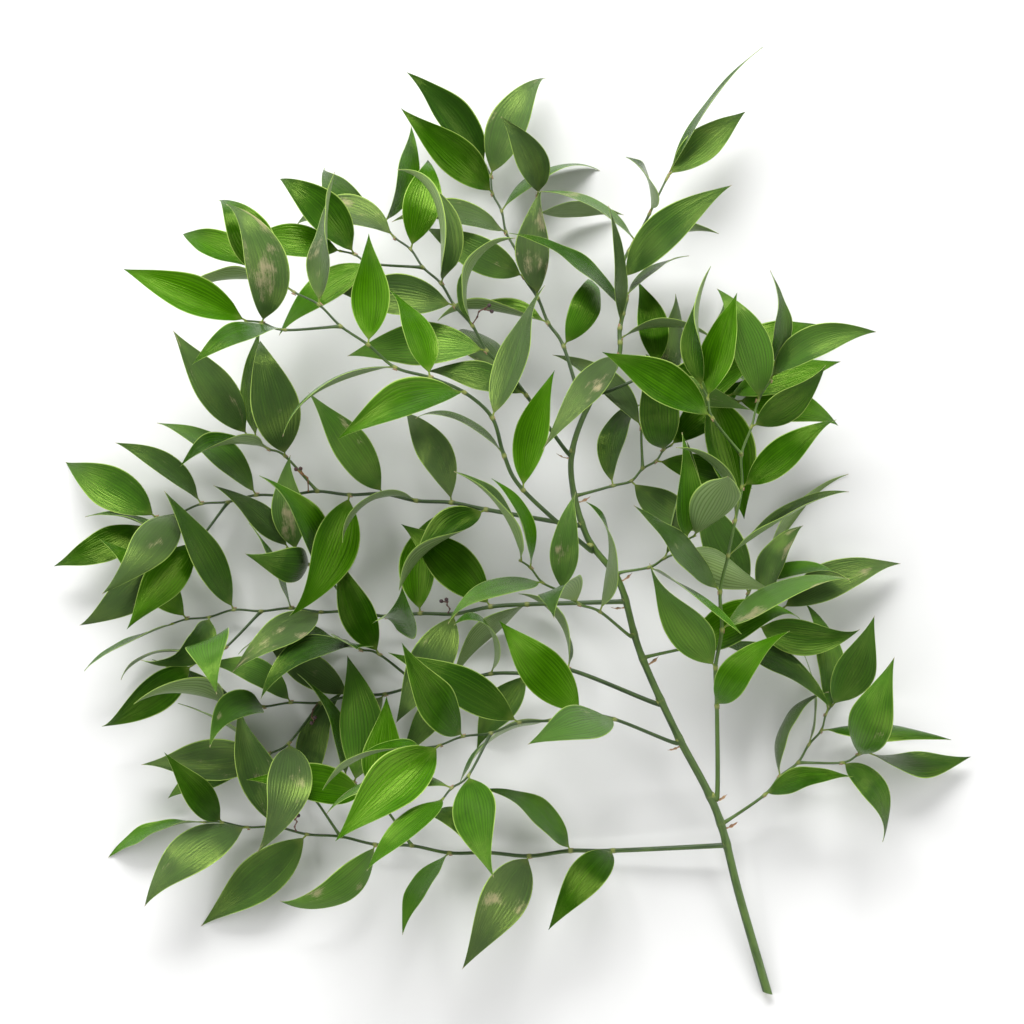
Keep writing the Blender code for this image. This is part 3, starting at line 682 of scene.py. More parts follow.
# The papery bracts.
# Where a side spray leaves the main stem, a dry reddish-brown bract often still sits under it. It is a
# thin pointed scale of the stem's own skin, curled and streaked lengthwise, and paler along its edge.
# numbers of the sprays that have one
BRACTED = ("02", "03", "04", "06", "08", "09", "12", "13")
BRACT_LENGTH = 7.0 * MM
BRACT_WIDTH = 2.4 * MM
BRACT_BEND = radians(-40)
BRACT_CURL = radians(11)
BRACT_TWIST = radians(17)
BRACT_CUP = 0.3
BRACT_BELOW = 4.2
BRACT_THICKNESS = 0.22 * MM
BLADE_THICKNESS = 0.6 * MM
JOINT_LENGTH = 3.4 * MM
JOINT_SHARE = 0.055
JOINT_HALF_WIDTH = 0.65 * MM
BLADE_STEPS = 24
OUTLINE_SKEW = 0.75
OUTLINE_FINENESS = 1.12
TIP_TAPER = 0.32
TAPER_START = 0.45
CUP_LEVEL = 0.4
SURFACE_SOFTNESS = 1.0 * MM
BRACT_COLUMNS = (-1.0, -0.7, -0.35, 0.0, 0.35, 0.7, 1.0)
BRACT_ROWS = 14
BRACT_RUFFLE = 0.35 * MM
BRACT_SINK = 0.6 * MM
JOINT_LOOPS = 3
FLAT_FROM = 0.10
EDGE_THINNING = 0.6
RUFFLE_SLANT = 0.23
LIGHT = Vector((0.0, sin(radians(42)), cos(radians(42))))
BRACT_DARK_BROWN = (0.20, 0.085, 0.045, 1.0)
BRACT_LIGHT_BROWN = (0.46, 0.27, 0.14, 1.0)
BRACT_STRAW = (0.56, 0.40, 0.22, 1.0)
BRACT_EDGE = (0.62, 0.48, 0.30, 1.0)
BRACT_TIP = (0.14, 0.07, 0.05, 1.0)
BRACT_VEINS = {"Strong": 5, "Fine": 13}
BRACT_ROUGHNESS = (0.55, 0.8)
DRY_RELIEF = (0.9, 0.2 * MM)

# aim: direction from root to tip. face: towards the upper side. Angles in radians over the whole leaf.
Leaf = namedtuple("Leaf", "root aim face length width bend curl sickle twist cup")


def turned(vector, axis, angle):
    return Quaternion(axis, angle) @ vector


def rest_height(z, lowest):
    """Height of a point that the surface holds up: unchanged well above it, never under lowest."""
    share = (z - lowest) / SURFACE_SOFTNESS
    if share > 30:
        return z
    return lowest + SURFACE_SOFTNESS * log1p(exp(share))


def outline(share):
    """Half width of a leaf over its greatest: broadest before the middle, then drawn out to a point."""
    if share <= 0 or share >= 1:
        return 0.0
    taper = 1.0 - TIP_TAPER * max(0.0, (share - TAPER_START) / (1 - TAPER_START)) ** 1.3
    return sin(pi * share**OUTLINE_SKEW) ** OUTLINE_FINENESS * taper


def leaf_rows(leaf):
    """Stations of a leaf's middle surface from joint to tip: (point, across, upward, half width)."""
    face = square_to(leaf.aim, leaf.face)
    across = face.cross(leaf.aim)
    ahead = turned(leaf.aim, across, -leaf.bend * 0.5)
    face = turned(face, across, -leaf.bend * 0.5)
    ahead = turned(ahead, face, -leaf.sickle * 0.5)
    across = face.cross(ahead)
    rows = [(leaf.root, across, face, JOINT_HALF_WIDTH)]
    point = leaf.root + ahead * min(JOINT_LENGTH, leaf.length * JOINT_SHARE)
    for step in range(BLADE_STEPS + 1):
        share = step / BLADE_STEPS
        half = max(outline(share) * leaf.width * 0.5, JOINT_HALF_WIDTH * (1.0 - share))
        rows.append((point, across, face, half))
        curl = leaf.curl * 4.0 * max(0.0, share - 0.5)
        bend = (leaf.bend + curl) / BLADE_STEPS
        ahead = turned(ahead, across, bend)
        face = turned(face, across, bend)
        ahead = turned(ahead, face, leaf.sickle / BLADE_STEPS)
        face = turned(face, ahead, leaf.twist / BLADE_STEPS)
        across = face.cross(ahead)
        point = point + ahead * (leaf.length / BLADE_STEPS)
    return rows


def between_rows(rows, share):
    """The point, across and upward vectors at any share of the blade."""
    blade = rows[1:]
    place = min(share * BLADE_STEPS, BLADE_STEPS - 1e-6)
    index = int(place)
    t = place - index
    here, there = blade[index], blade[index + 1]
    before, after = blade[max(index - 1, 0)][0], blade[min(index + 2, BLADE_STEPS)][0]
    point = curve_point(before, here[0], there[0], after, t)
    return point, here[1].lerp(there[1], t).normalized(), here[2].lerp(there[2], t).normalized()


def blade_stations(leaf, count, sink):
    """Loops of a blade from its root to its tip: (share, point, across, upward, half width)."""
    rows = leaf_rows(leaf)
    root, _, root_face, _ = rows[0]
    base, base_across, _, _ = rows[1]
    stations = []
    for step in range(-JOINT_LOOPS, 0):
        share = step / JOINT_LOOPS
        deeper = sink if step == -JOINT_LOOPS else 0.0
        point = base.lerp(root, -share) - (base - root).normalized() * deeper
        stations.append((share, point, base_across, root_face, JOINT_HALF_WIDTH * (0.8 - 0.1 * share)))
    for step in range(count + 1):
        t = step / count
        share = t - sin(4 * pi * t) * 0.02 - sin(2 * pi * t) * 0.055
        half = max(outline(share) * leaf.width * 0.5, JOINT_HALF_WIDTH * 0.8 * (1.0 - share) ** 3)
        stations.append((share, *between_rows(rows, share), half))
    return stations


def add_blade(skin, leaf, columns, count, thickness, finish, nature, ruffle, sink=0.0):
    """A leaf or scale as a thin closed skin.

    nature: its seed, tone and wear. ruffle: the size, number and phase of the waves along its edge. place
    holds the way across from -1 to 1, the way along from 0 to 1, below 0 on the joint, and the seed. kind
    holds the tone, the wear, and 1 on the upper side.
    """
    seed, tone, wear = nature
    size, waves, phase = ruffle
    loops = []
    for share, point, across, face, half in blade_stations(leaf, count, sink):
        flat = min(1.0, max(0.0, share / FLAT_FROM))
        middle = thickness + (JOINT_HALF_WIDTH * 1.5 - thickness) * (1 - flat) ** 2
        calm = sin(pi * min(1.0, max(0.0, share)))
        upper, lower = [], []
        for column in columns:
            outer = column * column
            wave = sin(2 * pi * (waves * share + phase + RUFFLE_SLANT * column)) * size * outer
            lift = leaf.cup * half * (outer - CUP_LEVEL) * flat + wave * calm
            spot = point + across * (half * column) + face * lift
            spot.z = rest_height(spot.z, BLADE_THICKNESS * 0.5)
            round_edge = sqrt(max(0.0, 1 - outer))
            thin_edge = 1 - EDGE_THINNING * outer
            thick = face * (middle * 0.5 * (round_edge * (1 - flat) + thin_edge * flat))
            place = (column, share, seed)
            upper.append((spot + thick, place, (tone, wear, 1.0)))
            lower.append((spot - thick, place, (tone, wear, 0.0)))
        loops.append(upper + lower[::-1])
    skin.add_loops(loops, finish)


def bract_leaf(spray):
    """A bract as a very small leaf, seated on the main stem just under a spray's root."""
    axis, growth = stem.at((spray.along - BRACT_BELOW) * MM)
    outward = square_to(growth, placed(spray.route[0]) - axis)
    root = axis + outward * (stem_radius(stem, spray.along * MM) + SEAT_GAP + JOINT_HALF_WIDTH * 0.4)
    aim = (outward * 0.9 + growth * 0.25).normalized()
    face = (growth * 0.7 + LIGHT).normalized()
    form = (BRACT_LENGTH, BRACT_WIDTH, BRACT_BEND, BRACT_CURL, 0.0, BRACT_TWIST, BRACT_CUP)
    return Leaf(root, aim, face, *form)


def veins_group():
    """Veins side by side from the base of a blade to its tip: strong ones, fine streaks, and a mottling."""
    inputs = ("Across", "Along", "Seed", "Strong", "Fine")
    group, given = new_group("side_by_side_veins", inputs, ("Strong Veins", "Mottling", "Streaks"))
    across, along = given["Across"], given["Along"]
    shift = times(given["Seed"], 91.0)
    fine = spot_of(times(across, given["Fine"]), times(along, 1.2), shift)
    streaks = speckle(fine, 1.0, 3.0, 0.6)
    wide = spot_of(times(across, 1.2), times(along, 5.0), shift)
    mottling = speckle(wide, 1.3)
    wandering = plus(across, times(plus(mottling, -0.5), 0.05))
    turn = times(times(wandering, given["Strong"]), pi)
    wave = math_of("MULTIPLY_ADD", math_of("COSINE", turn), 0.5, 0.5)
    strong = math_of("POWER", wave, 3.6)
    node(group, "NodeGroupOutput", {"Strong Veins": strong, "Mottling": mottling, "Streaks": streaks})
    return group


def veins_along(across, along, seed, numbers):
    """The veins, the streaks and the mottling at a place on a blade, with so many of each across it."""
    values = {"Across": across, "Along": along, "Seed": seed, **numbers}
    return grouped(along.id_data, side_by_side_veins, values)


def papery_look():
    look, tree, shader = new_look("papery_brown_bract")
    across, along, seed, tone, _, _ = read_place(tree)
    veins = veins_along(across, along, seed, BRACT_VEINS)
    edge = math_of("ABSOLUTE", across)
    colour = painted(BRACT_DARK_BROWN, BRACT_LIGHT_BROWN, veins["Streaks"], 0.35, 0.7)
    colour = painted(colour, BRACT_STRAW, tone, 0.0, 1.0, 0.35)
    colour = painted(colour, BRACT_EDGE, edge, 0.7, 1.0, 0.7)
    colour = painted(colour, BRACT_TIP, along, 0.75, 1.0, 0.6)
    roughness = between(veins["Mottling"], 0.3, 0.7, *BRACT_ROUGHNESS)
    dress_shader(shader, colour, roughness, veins["Streaks"], DRY_RELIEF)
    return look


class Crowd:
    """The skins placed so far, asked whether a new one would touch any."""

    def __init__(self):
        self.trees = []

    def add(self, shell):
        self.trees.append(BVHTree.FromPolygons(*shell))

    def clear_of(self, shell):
        tree = BVHTree.FromPolygons(*shell)
        return not any(tree.overlap(other) for other in self.trees)


# How the solids' leaves were kept clear of each other, so that the same draws are taken here
SHELL_ROWS = (0, 6, 13, 24)
SHELL_COLUMNS = (-1.0, 0.0, 1.0)
SHELL_SIDES = 6
CLEARANCE = 0.65 * MM
TWIG_CLEARANCE = 0.9 * MM


def leaf_point(leaf, row, column):
    """A point of a leaf's middle surface, column from -1 at one edge to 1 at the other."""
    point, across, face, half = row
    lift = leaf.cup * half * (column * column - CUP_LEVEL)
    place = point + across * (half * column) + face * lift
    place.z = rest_height(place.z, BLADE_THICKNESS * 0.5)
    return place


def leaf_shell(leaf, rows, clearance, first=0):
    """The closed skin, as vertices and polygons, of a leaf thickened by a clearance on both sides."""
    chosen = [rows[1 + step] for step in SHELL_ROWS if step >= first]
    vertices = []
    for row in chosen:
        for offset, columns in ((-clearance, SHELL_COLUMNS), (clearance, SHELL_COLUMNS[::-1])):
            vertices += [leaf_point(leaf, row, column) + row[2] * offset for column in columns]
    wide = 2 * len(SHELL_COLUMNS)
    return vertices, [*faces_between(0, wide, len(chosen)), tuple(range(wide))]


def tube_shell(points, radius):
    """A skin of few sides round a line of points."""
    vertices = []
    for index, point in enumerate(points):
        ahead = points[min(index + 1, len(points) - 1)] - points[max(index - 1, 0)]
        across = ahead.orthogonal().normalized()
        for side in range(SHELL_SIDES):
            turn = side * 2 * pi / SHELL_SIDES
            vertices.append(point + turned(across, ahead.normalized(), turn) * radius)
    return vertices, faces_between(0, SHELL_SIDES, len(points))


side_by_side_veins = veins_group()
bract_look = papery_look()
crowd = Crowd()
crowd.add(tube_shell(stem.samples, STEM_BASE_RADIUS + TWIG_CLEARANCE))
for number, spray in enumerate(SPRAYS):
    if spray.name[6:8] in BRACTED:
        bract = bract_leaf(spray)
        crowd.add(leaf_shell(bract, leaf_rows(bract), CLEARANCE))
        skin = Skin()
        nature = (number * 0.13, random.Random(number).random(), 0.5)
        ruffle = (BRACT_RUFFLE, 2.0, number * 0.37)
        add_blade(skin, bract, BRACT_COLUMNS, BRACT_ROWS, BRACT_THICKNESS, 0, nature, ruffle, BRACT_SINK)
        piece = skin.piece(f"curled_bract_{spray.name[6:8]}", [bract_look])
        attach(piece, "root")
        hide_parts(f"papery_bract_{spray.name[6:8]}")


# The dried flower stalks.
# Thin kinked stalks of last season's flowers stand on some twigs. They are dry, dark purple-brown, and
# each ends in a shrivelled berry the size of a peppercorn or smaller.
# the spray, the share of its first twig below the stalk, the heading, and the length in mm
STALKS = (
    ("spray_05_left", 0.70, (-0.3, -0.6, 0.75), 19),
    ("spray_01_left", 0.74, (0.1, 0.6, 0.8), 17),
    ("spray_13_left", 0.42, (0.75, 0.2, 0.6), 18),
    ("spray_11_left", 0.52, (-0.2, 0.7, 0.7), 20),
    ("spray_08_left", 0.30, (-0.1, 0.5, 0.85), 16),
)
SEED = 3878
STALK_SEED = SEED + 90
STALK_RADIUS = 0.42 * MM
BERRY_RADIUS = 1.25 * MM
STALK_KINKS = 4
STALK_SWING = (0.25, 0.5)
PEDICEL_SHARE = 0.24
STALK_RING = 0.5 * MM
STALK_SIDES = 10
STALK_THINNEST = 0.85
STALK_SWELLING = 0.6
STALK_SWELLING_REACH = 0.7 * MM
STALK_SINK = 0.9 * MM
STALK_DARK_BROWN = (0.075, 0.030, 0.034, 1.0)
STALK_LIGHT_BROWN = (0.21, 0.105, 0.07, 1.0)
STALK_RUST = (0.34, 0.15, 0.05, 1.0)
STALK_RIDGES = 5.0
STALK_STRETCH = 260.0
STALK_ROUGHNESS = (0.45, 0.75)
BERRY_DARK = (0.035, 0.016, 0.024, 1.0)
BERRY_SHADE = 0.85
BERRY_LOOPS = 14
BERRY_SIDES = 28
BERRY_FOLD_DEPTH = 0.16
BERRY_UNEVENNESS = 0.02


def stalk_lines(root, heading, length, rng):
    """A kinked stalk and its short side pedicel, each a list of points."""
    across = heading.orthogonal().normalized()
    line = [root]
    for _ in range(STALK_KINKS):
        swing = turned(across, heading, rng.uniform(0, 2 * pi)) * rng.uniform(*STALK_SWING)
        line.append(line[-1] + (heading + swing).normalized() * (length / STALK_KINKS))
    swing = turned(across, heading, rng.uniform(0, 2 * pi))
    fork = line[STALK_KINKS - 1]
    return [line, [fork, fork + (heading * 0.5 + swing).normalized() * length * PEDICEL_SHARE]]


def dry_look():
    look, tree, shader = new_look("dry_purple_brown_stalk")
    turn_x, turn_y, along, berry, _, tone = read_place(tree)
    fibres = fibres_along(turn_x, turn_y, along, STALK_RIDGES, STALK_STRETCH)
    colour = painted(STALK_DARK_BROWN, STALK_LIGHT_BROWN, fibres["Mottling"], 0.3, 0.7)
    colour = painted(colour, STALK_RUST, tone, 0.4, 1.0, 0.8)
    colour = mixed(berry, colour, BERRY_DARK)
    roughness = between(fibres["Height"], 0.3, 0.7, *STALK_ROUGHNESS)
    dress_shader(shader, colour, roughness, fibres["Height"], DRY_RELIEF)
    return look


def add_berry(skin, centre, heading, rng, tone):
    """A berry dried to a puckered ball with five or so folds."""
    across = heading.orthogonal().normalized()
    beside = heading.cross(across).normalized()
    folds = rng.choice((5, 6, 7))
    phase = rng.uniform(0, pi)
    loops = []
    for row in range(1, BERRY_LOOPS):
        dip = pi * row / BERRY_LOOPS
        loop = []
        for side in range(BERRY_SIDES):
            turn = 2 * pi * side / BERRY_SIDES
            fold = abs(sin(turn * folds * 0.5 + phase + 0.8 * cos(dip))) * sin(dip)
            uneven = 1 + rng.uniform(-BERRY_UNEVENNESS, BERRY_UNEVENNESS)
            radius = BERRY_RADIUS * (1 - BERRY_FOLD_DEPTH * fold) * uneven
            out = across * cos(turn) + beside * sin(turn)
            point = centre + out * (radius * sin(dip)) - heading * (radius * cos(dip))
            place = (cos(turn), sin(turn), dip * BERRY_RADIUS)
            loop.append((point, place, (BERRY_SHADE, 0.0, tone)))
        loops.append(loop)
    skin.add_loops(loops, 0)


def add_stalk(skin, points, outward, tone):
    """One kinked stalk as a thin tube with knobs at its kinks, sunk into what carries it."""
    line = Line([points[0] - outward * STALK_SINK, *points[1:]])

    def radius_at(distance):
        swollen = swelling(distance, line.joints(0), STALK_SWELLING, STALK_SWELLING_REACH)
        return STALK_RADIUS * (STALK_THINNEST + swollen)

    distances = line.stations(STALK_RING)
    skin.add_loops(round_loops(line, distances, radius_at, lambda distance: 0.0, tone, STALK_SIDES), 0)


def build_stalks():
    for number, (name, share, heading, length) in enumerate(STALKS):
        rng = random.Random(STALK_SEED + number)
        twig = grown[name][0]
        place = share * (len(twig.points) - 1)
        here, there = twig.points[int(place)], twig.points[int(place) + 1]
        heading = Vector(heading).normalized()
        outward = square_to((there - here).normalized(), heading)
        root = here.lerp(there, place - int(place)) + outward * (twig.root + SEAT_GAP)
        skin = Skin()
        fine = random.Random(STALK_SEED + 50 + number)
        tone = fine.random()
        for points in stalk_lines(root, outward, length * MM, rng):
            crowd.add(tube_shell(points, BERRY_RADIUS + CLEARANCE))
            add_stalk(skin, points, outward, tone)
            add_berry(skin, points[-1], (points[-1] - points[-2]).normalized(), fine, tone)
        piece = skin.piece(f"dry_berried_stalk_{number + 1}", [stalk_look])
        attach(piece, "root")
        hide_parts(f"dried_flower_stalk_{number + 1}")


stalk_look = dry_look()
build_stalks()


# The tip spray.
# The main stem ends in a leafy twig of its own. Its leaves are glossy and leathery, on short yellowish
# joints, with veins from base to point, a fine pale edge, a paler underside and now and then a tan scuff.
# Some leaves have a grey waxy haze that is partly painted sheen, and the underside's paleness is partly
# painted sheen.
# share: of the twig below the leaf. aim: from root to tip in mm. width: mm. roll, bend: degrees
TipLeaf = namedtuple("TipLeaf", "share aim width roll bend")
TIP_LEAVES = (
    TipLeaf(0.985, (52, 73, 6), 17, -38, 24),
    TipLeaf(0.965, (47, 40, -10), 20, 25, 36),
    TipLeaf(0.78, (-16, 26, 30), 27, 8, 64),
    TipLeaf(0.62, (-58, 28, 8), 21, 20, 52),
    TipLeaf(0.58, (52, 8, -2), 18, -52, 60),
    TipLeaf(0.42, (64, 52, 20), 25, 16, 58),
    TipLeaf(0.34, (36, 26, -12), 16, -30, 40),
    TipLeaf(0.27, (-66, 44, 14), 21, 14, 46),
    TipLeaf(0.20, (-6, 62, 26), 15, 40, 16),
    TipLeaf(0.13, (56, -2, 6), 17, -48, 70),
    TipLeaf(0.06, (-44, -60, 42), 18, -12, 40),
)
LEAF_THICKNESS = 0.42 * MM
LEAF_COLUMNS = (-1.0, -0.95, -0.84, -0.66, -0.44, -0.22, 0.0, 0.22, 0.44, 0.66, 0.84, 0.95, 1.0)
LEAF_LOOPS = 30
LEAF_SEED = SEED + 40000
LEAF_DEEP_GREEN = (0.011, 0.049, 0.001, 1.0)
LEAF_BRIGHT_GREEN = (0.052, 0.182, 0.001, 1.0)
# a grey-green waxy haze, partly painted sheen
LEAF_BLOOM_AND_SHEEN = (0.160, 0.195, 0.105, 1.0)
# the underside's own paler green, made paler still as painted sheen
LEAF_UNDERSIDE_WITH_SHEEN = (0.225, 0.305, 0.130, 1.0)
LEAF_EDGE = (0.38, 0.54, 0.12, 1.0)
LEAF_JOINT_YELLOW = (0.28, 0.36, 0.07, 1.0)
LEAF_FIRST_GLOSS = (0.60, 0.90, 0.13, 1.0)
LEAF_IOR = 1.54
LEAF_VEINS = {"Strong": 14.0, "Fine": 24.0}
LEAF_ROUGHNESS = (0.17, 0.27)
LEAF_DULLER_BELOW = 0.14
LEAF_RELIEF = (0.8, 0.3 * MM)
LEAF_RUFFLES = (0.15, 0.7)
LEAF_WAVES = (1.3, 3.0)
SCUFF_TAN = (0.40, 0.33, 0.21, 1.0)
TIP_LEAF_CURL = radians(12)
TIP_LEAF_CUP = 0.16
TIP_TWIG_COLLAR = 0.1
TIP_TONE = 0.3
TIP_NUMBERS = 9000
SCALE_LENGTH = 2.4 * MM
SCALE_LENGTHS = (0.75, 1.25)
SCALE_WIDTH = 2.0 * MM
SCALE_BEND = -0.3
SCALE_CURL = -0.4
SCALE_TWIST = 0.3
SCALE_CUP = -0.7
SCALE_THICKNESS = 0.16 * MM
SCALE_COLUMNS = (-1.0, -0.5, 0.0, 0.5, 1.0)
SCALE_ROWS = 6
# how far out on the twig a scale leaf sits, as a share of the twig's radius
SCALE_SEAT = 0.75
TIP_SCALE_SEAT = 0.9


def tip_leaf(spec, root):
    """A leaf of the tip spray, from where its end lies."""
    aim = Vector(spec.aim).normalized()
    face = turned(square_to(aim, LIGHT), aim, radians(spec.roll))
    return Leaf(
        root=root,
        aim=aim,
        face=face,
        length=Vector(spec.aim).length * MM,
        width=spec.width * MM,
        bend=radians(spec.bend),
        curl=TIP_LEAF_CURL,
        sickle=0.0,
        twist=radians(spec.roll * 0.4),
        cup=TIP_LEAF_CUP,
    )


def scuff_mask(across, along, seed, wear, upper, streaks):
    """Where a worn leaf is rubbed dry above: a patch that breaks up along the veins."""
    patch_spot = spot_of(across, times(along, 4.0), times(seed, 57.0))
    fibre_spot = spot_of(times(across, 16.0), times(along, 34.0), seed)
    patch = plus(speckle(patch_spot, 0.9), times(plus(wear, -1.0), 0.34))
    broken = plus(patch, times(streaks, 0.22))
    broken = plus(broken, times(speckle(fibre_spot, 1.0, 3.0, 0.7), 0.26))
    scuff = times(between(broken, 0.80, 0.98, 0.0, 0.8), between(along, 0.04, 0.16))
    return times(scuff, upper)


def glossy_leaf_look():
    look, tree, shader = new_look("glossy_ruscus_leaf")
    across, along, seed, tone, wear, upper = read_place(tree)
    veins = veins_along(across, along, seed, LEAF_VEINS)
    streaks, strong = veins["Streaks"], veins["Strong Veins"]
    fresh = plus(tone, times(plus(veins["Mottling"], -0.5), 0.6))
    green = painted(LEAF_DEEP_GREEN, LEAF_BRIGHT_GREEN, fresh, 0.0, 1.1)
    green = painted(green, LEAF_BRIGHT_GREEN, streaks, 0.50, 0.72, 0.45)
    green = painted(green, LEAF_DEEP_GREEN, streaks, 0.50, 0.34, 0.50)
    green = mixed(times(strong, 0.5), green, LEAF_DEEP_GREEN)
    # painted sheen: worn leaves turn to a grey waxy haze that also paints the grey sheen of glossy leaves
    worn = between(wear, 0.1, 1.0, 0.0, 0.38)
    bloom_and_sheen = math_of("MAXIMUM", plus(worn, times(tone, -0.1)), 0.0)
    green = mixed(bloom_and_sheen, green, LEAF_BLOOM_AND_SHEEN)
    # painted sheen: the underside is painted paler than its own colour, as a sheen
    below = painted(LEAF_UNDERSIDE_WITH_SHEEN, LEAF_BRIGHT_GREEN, streaks, 0.3, 0.8, 0.4)
    below = mixed(times(strong, 0.55), below, LEAF_DEEP_GREEN)
    colour = mixed(upper, below, green)
    colour = painted(colour, LEAF_EDGE, math_of("ABSOLUTE", across), 0.95, 0.98, 0.9)
    colour = painted(colour, LEAF_JOINT_YELLOW, along, 0.09, -0.1, 0.9)
    dry_tip = times(between(along, 0.965, 0.99), between(wear, 0.25, 0.5))
    colour = mixed(dry_tip, colour, SCUFF_TAN)
    scuff = scuff_mask(across, along, seed, wear, upper, streaks)
    colour = mixed(scuff, colour, SCUFF_TAN)
    roughness = between(veins["Mottling"], 0.3, 0.75, *LEAF_ROUGHNESS)
    roughness = plus(roughness, times(scuff, 0.3))
    lower = plus(times(upper, -1.0), 1.0)
    roughness = plus(roughness, times(lower, LEAF_DULLER_BELOW))
    height = plus(times(strong, -0.3), streaks)
    dress_shader(shader, colour, roughness, height, LEAF_RELIEF)
    shader.inputs["Specular Tint"].default_value = LEAF_FIRST_GLOSS
    shader.inputs["IOR"].default_value = LEAF_IOR
    return look


def add_leaf(skin, leaf, number):
    """A glossy leaf, with its own tone, wear and waves."""
    rng = random.Random(LEAF_SEED + number)
    nature = (rng.random(), rng.random(), rng.random())
    ruffle = (rng.uniform(*LEAF_RUFFLES) * MM, rng.uniform(*LEAF_WAVES), rng.random())
    add_blade(skin, leaf, LEAF_COLUMNS, LEAF_LOOPS, LEAF_THICKNESS, LEAF_FINISH, nature, ruffle)


def add_scale(skin, point, ahead, outward, radius, number):
    """The tiny dry scale leaf that clasps a twig under each leaf."""
    rng = random.Random(LEAF_SEED + 5000 + number)
    root = point + outward * radius - ahead * (SCALE_LENGTH * 0.8)
    length = SCALE_LENGTH * rng.uniform(*SCALE_LENGTHS)
    aim = (ahead + outward * 0.22).normalized()
    twist = rng.uniform(-SCALE_TWIST, SCALE_TWIST)
    leaf = Leaf(root, aim, outward, length, SCALE_WIDTH, SCALE_BEND, SCALE_CURL, 0.0, twist, SCALE_CUP)
    nature = (rng.random(), rng.random(), 0.5)
    ruffle = (0.0, 1.0, 0.0)
    add_blade(skin, leaf, SCALE_COLUMNS, SCALE_ROWS, SCALE_THICKNESS, SCALE_FINISH, nature, ruffle)


def dress_spray(skin, name):
    """The piece of a whole spray, in place of its solid."""
    piece = skin.piece(f"leafy_{name}", [leaf_look, twig_look, bract_look])
    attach(piece, "root")
    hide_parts(name)


def build_tip_spray():
    skin = Skin()
    line = Line([tip_twig.points[0] - (tip_twig.points[1] - tip_twig.points[0]), *tip_twig.points[1:]])
    joints = [tip_line.length * spec.share + TWIG_KNEE for spec in TIP_LEAVES]
    add_twig(skin, line, joints, STEM_FORK_RADIUS, TIP_TONE, TIP_TWIG_COLLAR)
    for number, spec in enumerate(TIP_LEAVES):
        point, ahead = tip_line.at(tip_line.length * spec.share)
        leaf = tip_leaf(spec, point)
        crowd.add(leaf_shell(leaf, leaf_rows(leaf), CLEARANCE))
        add_leaf(skin, leaf, TIP_NUMBERS + number)
        outward = square_to(ahead, leaf.aim)
        radius = STEM_FORK_RADIUS + (TWIG_END_RADIUS - STEM_FORK_RADIUS) * spec.share
        add_scale(skin, point, ahead, outward, radius * TIP_SCALE_SEAT, TIP_NUMBERS + number)
    crowd.add(tube_shell(tip_twig.points, STEM_FORK_RADIUS + TWIG_CLEARANCE))
    dress_spray(skin, "spray_16_tip")


leaf_look = glossy_leaf_look()
build_tip_spray()


# The leafy side sprays.
# Fifteen sprays leave the main stem in turn to both sides, with one leaf at each joint of their twigs. The
# leaves arch, twist and cup, turn their upper side to the light, and grow where the air is free.
MOST_DRAWS = 90
OWN_TWIG_CLEARANCE = 0.25 * MM
FREE_ROW = 6
DEEPEST_PRESS = 4 * MM
CALM_DRAWS = 40
LEAF_ANGLE = (46, 13)
END_LEAF_SPREAD = 14
LEAF_PITCH = (6, 17)
LEAF_ROLL_SPREAD = 31
LEAF_LENGTHS = (0.84, 1.22)
LEAF_WIDTHS = (0.28, 0.385)
LEAF_BEND = (52, 26)
LEAF_CURL = (20, 26)
LEAF_SICKLE_SPREAD = 18
LEAF_TWIST_SPREAD = 34
LEAF_CUP = (0.2, 0.2)


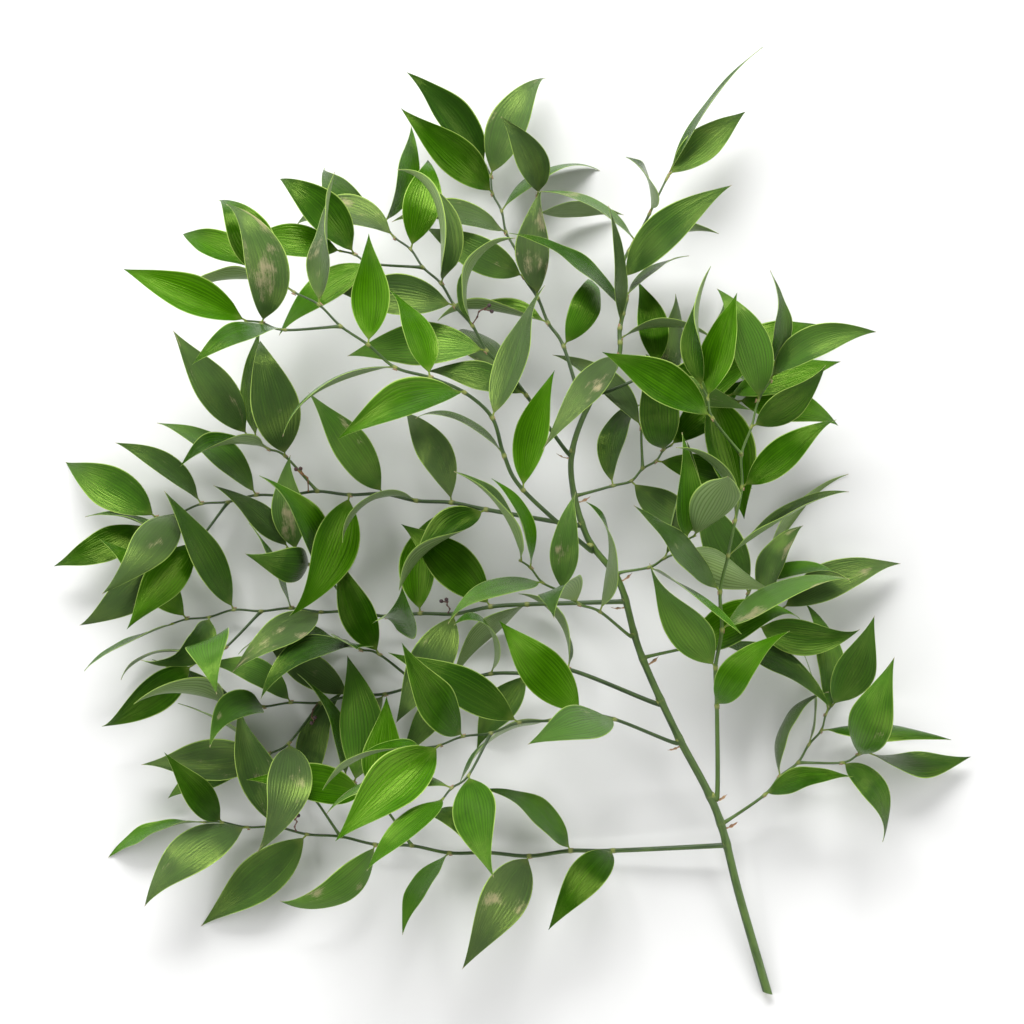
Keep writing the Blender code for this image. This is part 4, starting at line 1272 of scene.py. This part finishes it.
def drawn_leaf(rng, root, ahead, side, mean, wildness):
    """One random leaf at a node: side 0 is the leaf that ends a twig."""
    angle = radians(rng.gauss(*LEAF_ANGLE) * side if side else rng.gauss(0, END_LEAF_SPREAD))
    pitch = radians(rng.gauss(LEAF_PITCH[0], LEAF_PITCH[1] * wildness))
    sideways = BRANCHING.cross(ahead).normalized()
    aim = ahead * cos(angle) + sideways * sin(angle)
    upward = square_to(aim, BRANCHING)
    aim = (aim * cos(pitch) + upward * sin(pitch)).normalized()
    roll = radians(rng.gauss(0, LEAF_ROLL_SPREAD * wildness))
    face = turned(square_to(aim, LIGHT), aim, roll)
    length = mean * MM * rng.uniform(*LEAF_LENGTHS)
    return Leaf(
        root=root,
        aim=aim,
        face=face,
        length=length,
        width=length * rng.uniform(*LEAF_WIDTHS),
        bend=radians(rng.gauss(*LEAF_BEND)),
        curl=radians(max(0.0, rng.gauss(*LEAF_CURL))),
        sickle=radians(rng.gauss(0, LEAF_SICKLE_SPREAD)),
        twist=radians(rng.gauss(0, LEAF_TWIST_SPREAD)),
        cup=rng.gauss(*LEAF_CUP),
    )


def grow_leaves(spray, twigs, others, number):
    """The leaves of a spray, each at the first draw that is clear of what stands."""
    own = Crowd()
    for twig in twigs:
        own.add(tube_shell(twig.points, twig.root + OWN_TWIG_CLEARANCE))
    leaves = []
    for twig_index, twig in enumerate(twigs):
        for node_index, (root, ahead, side) in enumerate(twig.nodes):
            rng = random.Random(SEED + number * 1000 + twig_index * 100 + node_index)
            for draw in range(MOST_DRAWS):
                leaf = drawn_leaf(rng, root, ahead, side, spray.blade, 1 + draw / CALM_DRAWS)
                rows = leaf_rows(leaf)
                shell = leaf_shell(leaf, rows, CLEARANCE)
                if min(row[0].z for row in rows) < -DEEPEST_PRESS or not others.clear_of(shell):
                    continue
                if not own.clear_of(leaf_shell(leaf, rows, CLEARANCE, FREE_ROW)):
                    continue
                others.add(shell)
                leaves.append(leaf)
                break
    return leaves


def build_side_sprays():
    for number, spray in enumerate(SPRAYS):
        twigs = grown[spray.name]
        others = Crowd()
        others.trees = list(crowd.trees)
        for name, strangers in grown.items():
            if name != spray.name:
                for twig in strangers:
                    others.add(tube_shell(twig.points, twig.root + TWIG_CLEARANCE))
        before = len(others.trees)
        leaves = grow_leaves(spray, twigs, others, number)
        crowd.trees += others.trees[before:]
        skin = Skin()
        for index, leaf in enumerate(leaves):
            add_leaf(skin, leaf, number * 100 + index)
        add_twigs(skin, twigs, random.Random(SEED + 700 + number))
        for twig in twigs:
            for index, (point, ahead, side) in enumerate(twig.nodes):
                if side and (index + number) % 3:
                    outward = BRANCHING.cross(ahead).normalized() * side
                    add_scale(skin, point, ahead, outward, twig.root * SCALE_SEAT, number * 100 + index)
        dress_spray(skin, spray.name)


build_side_sprays()
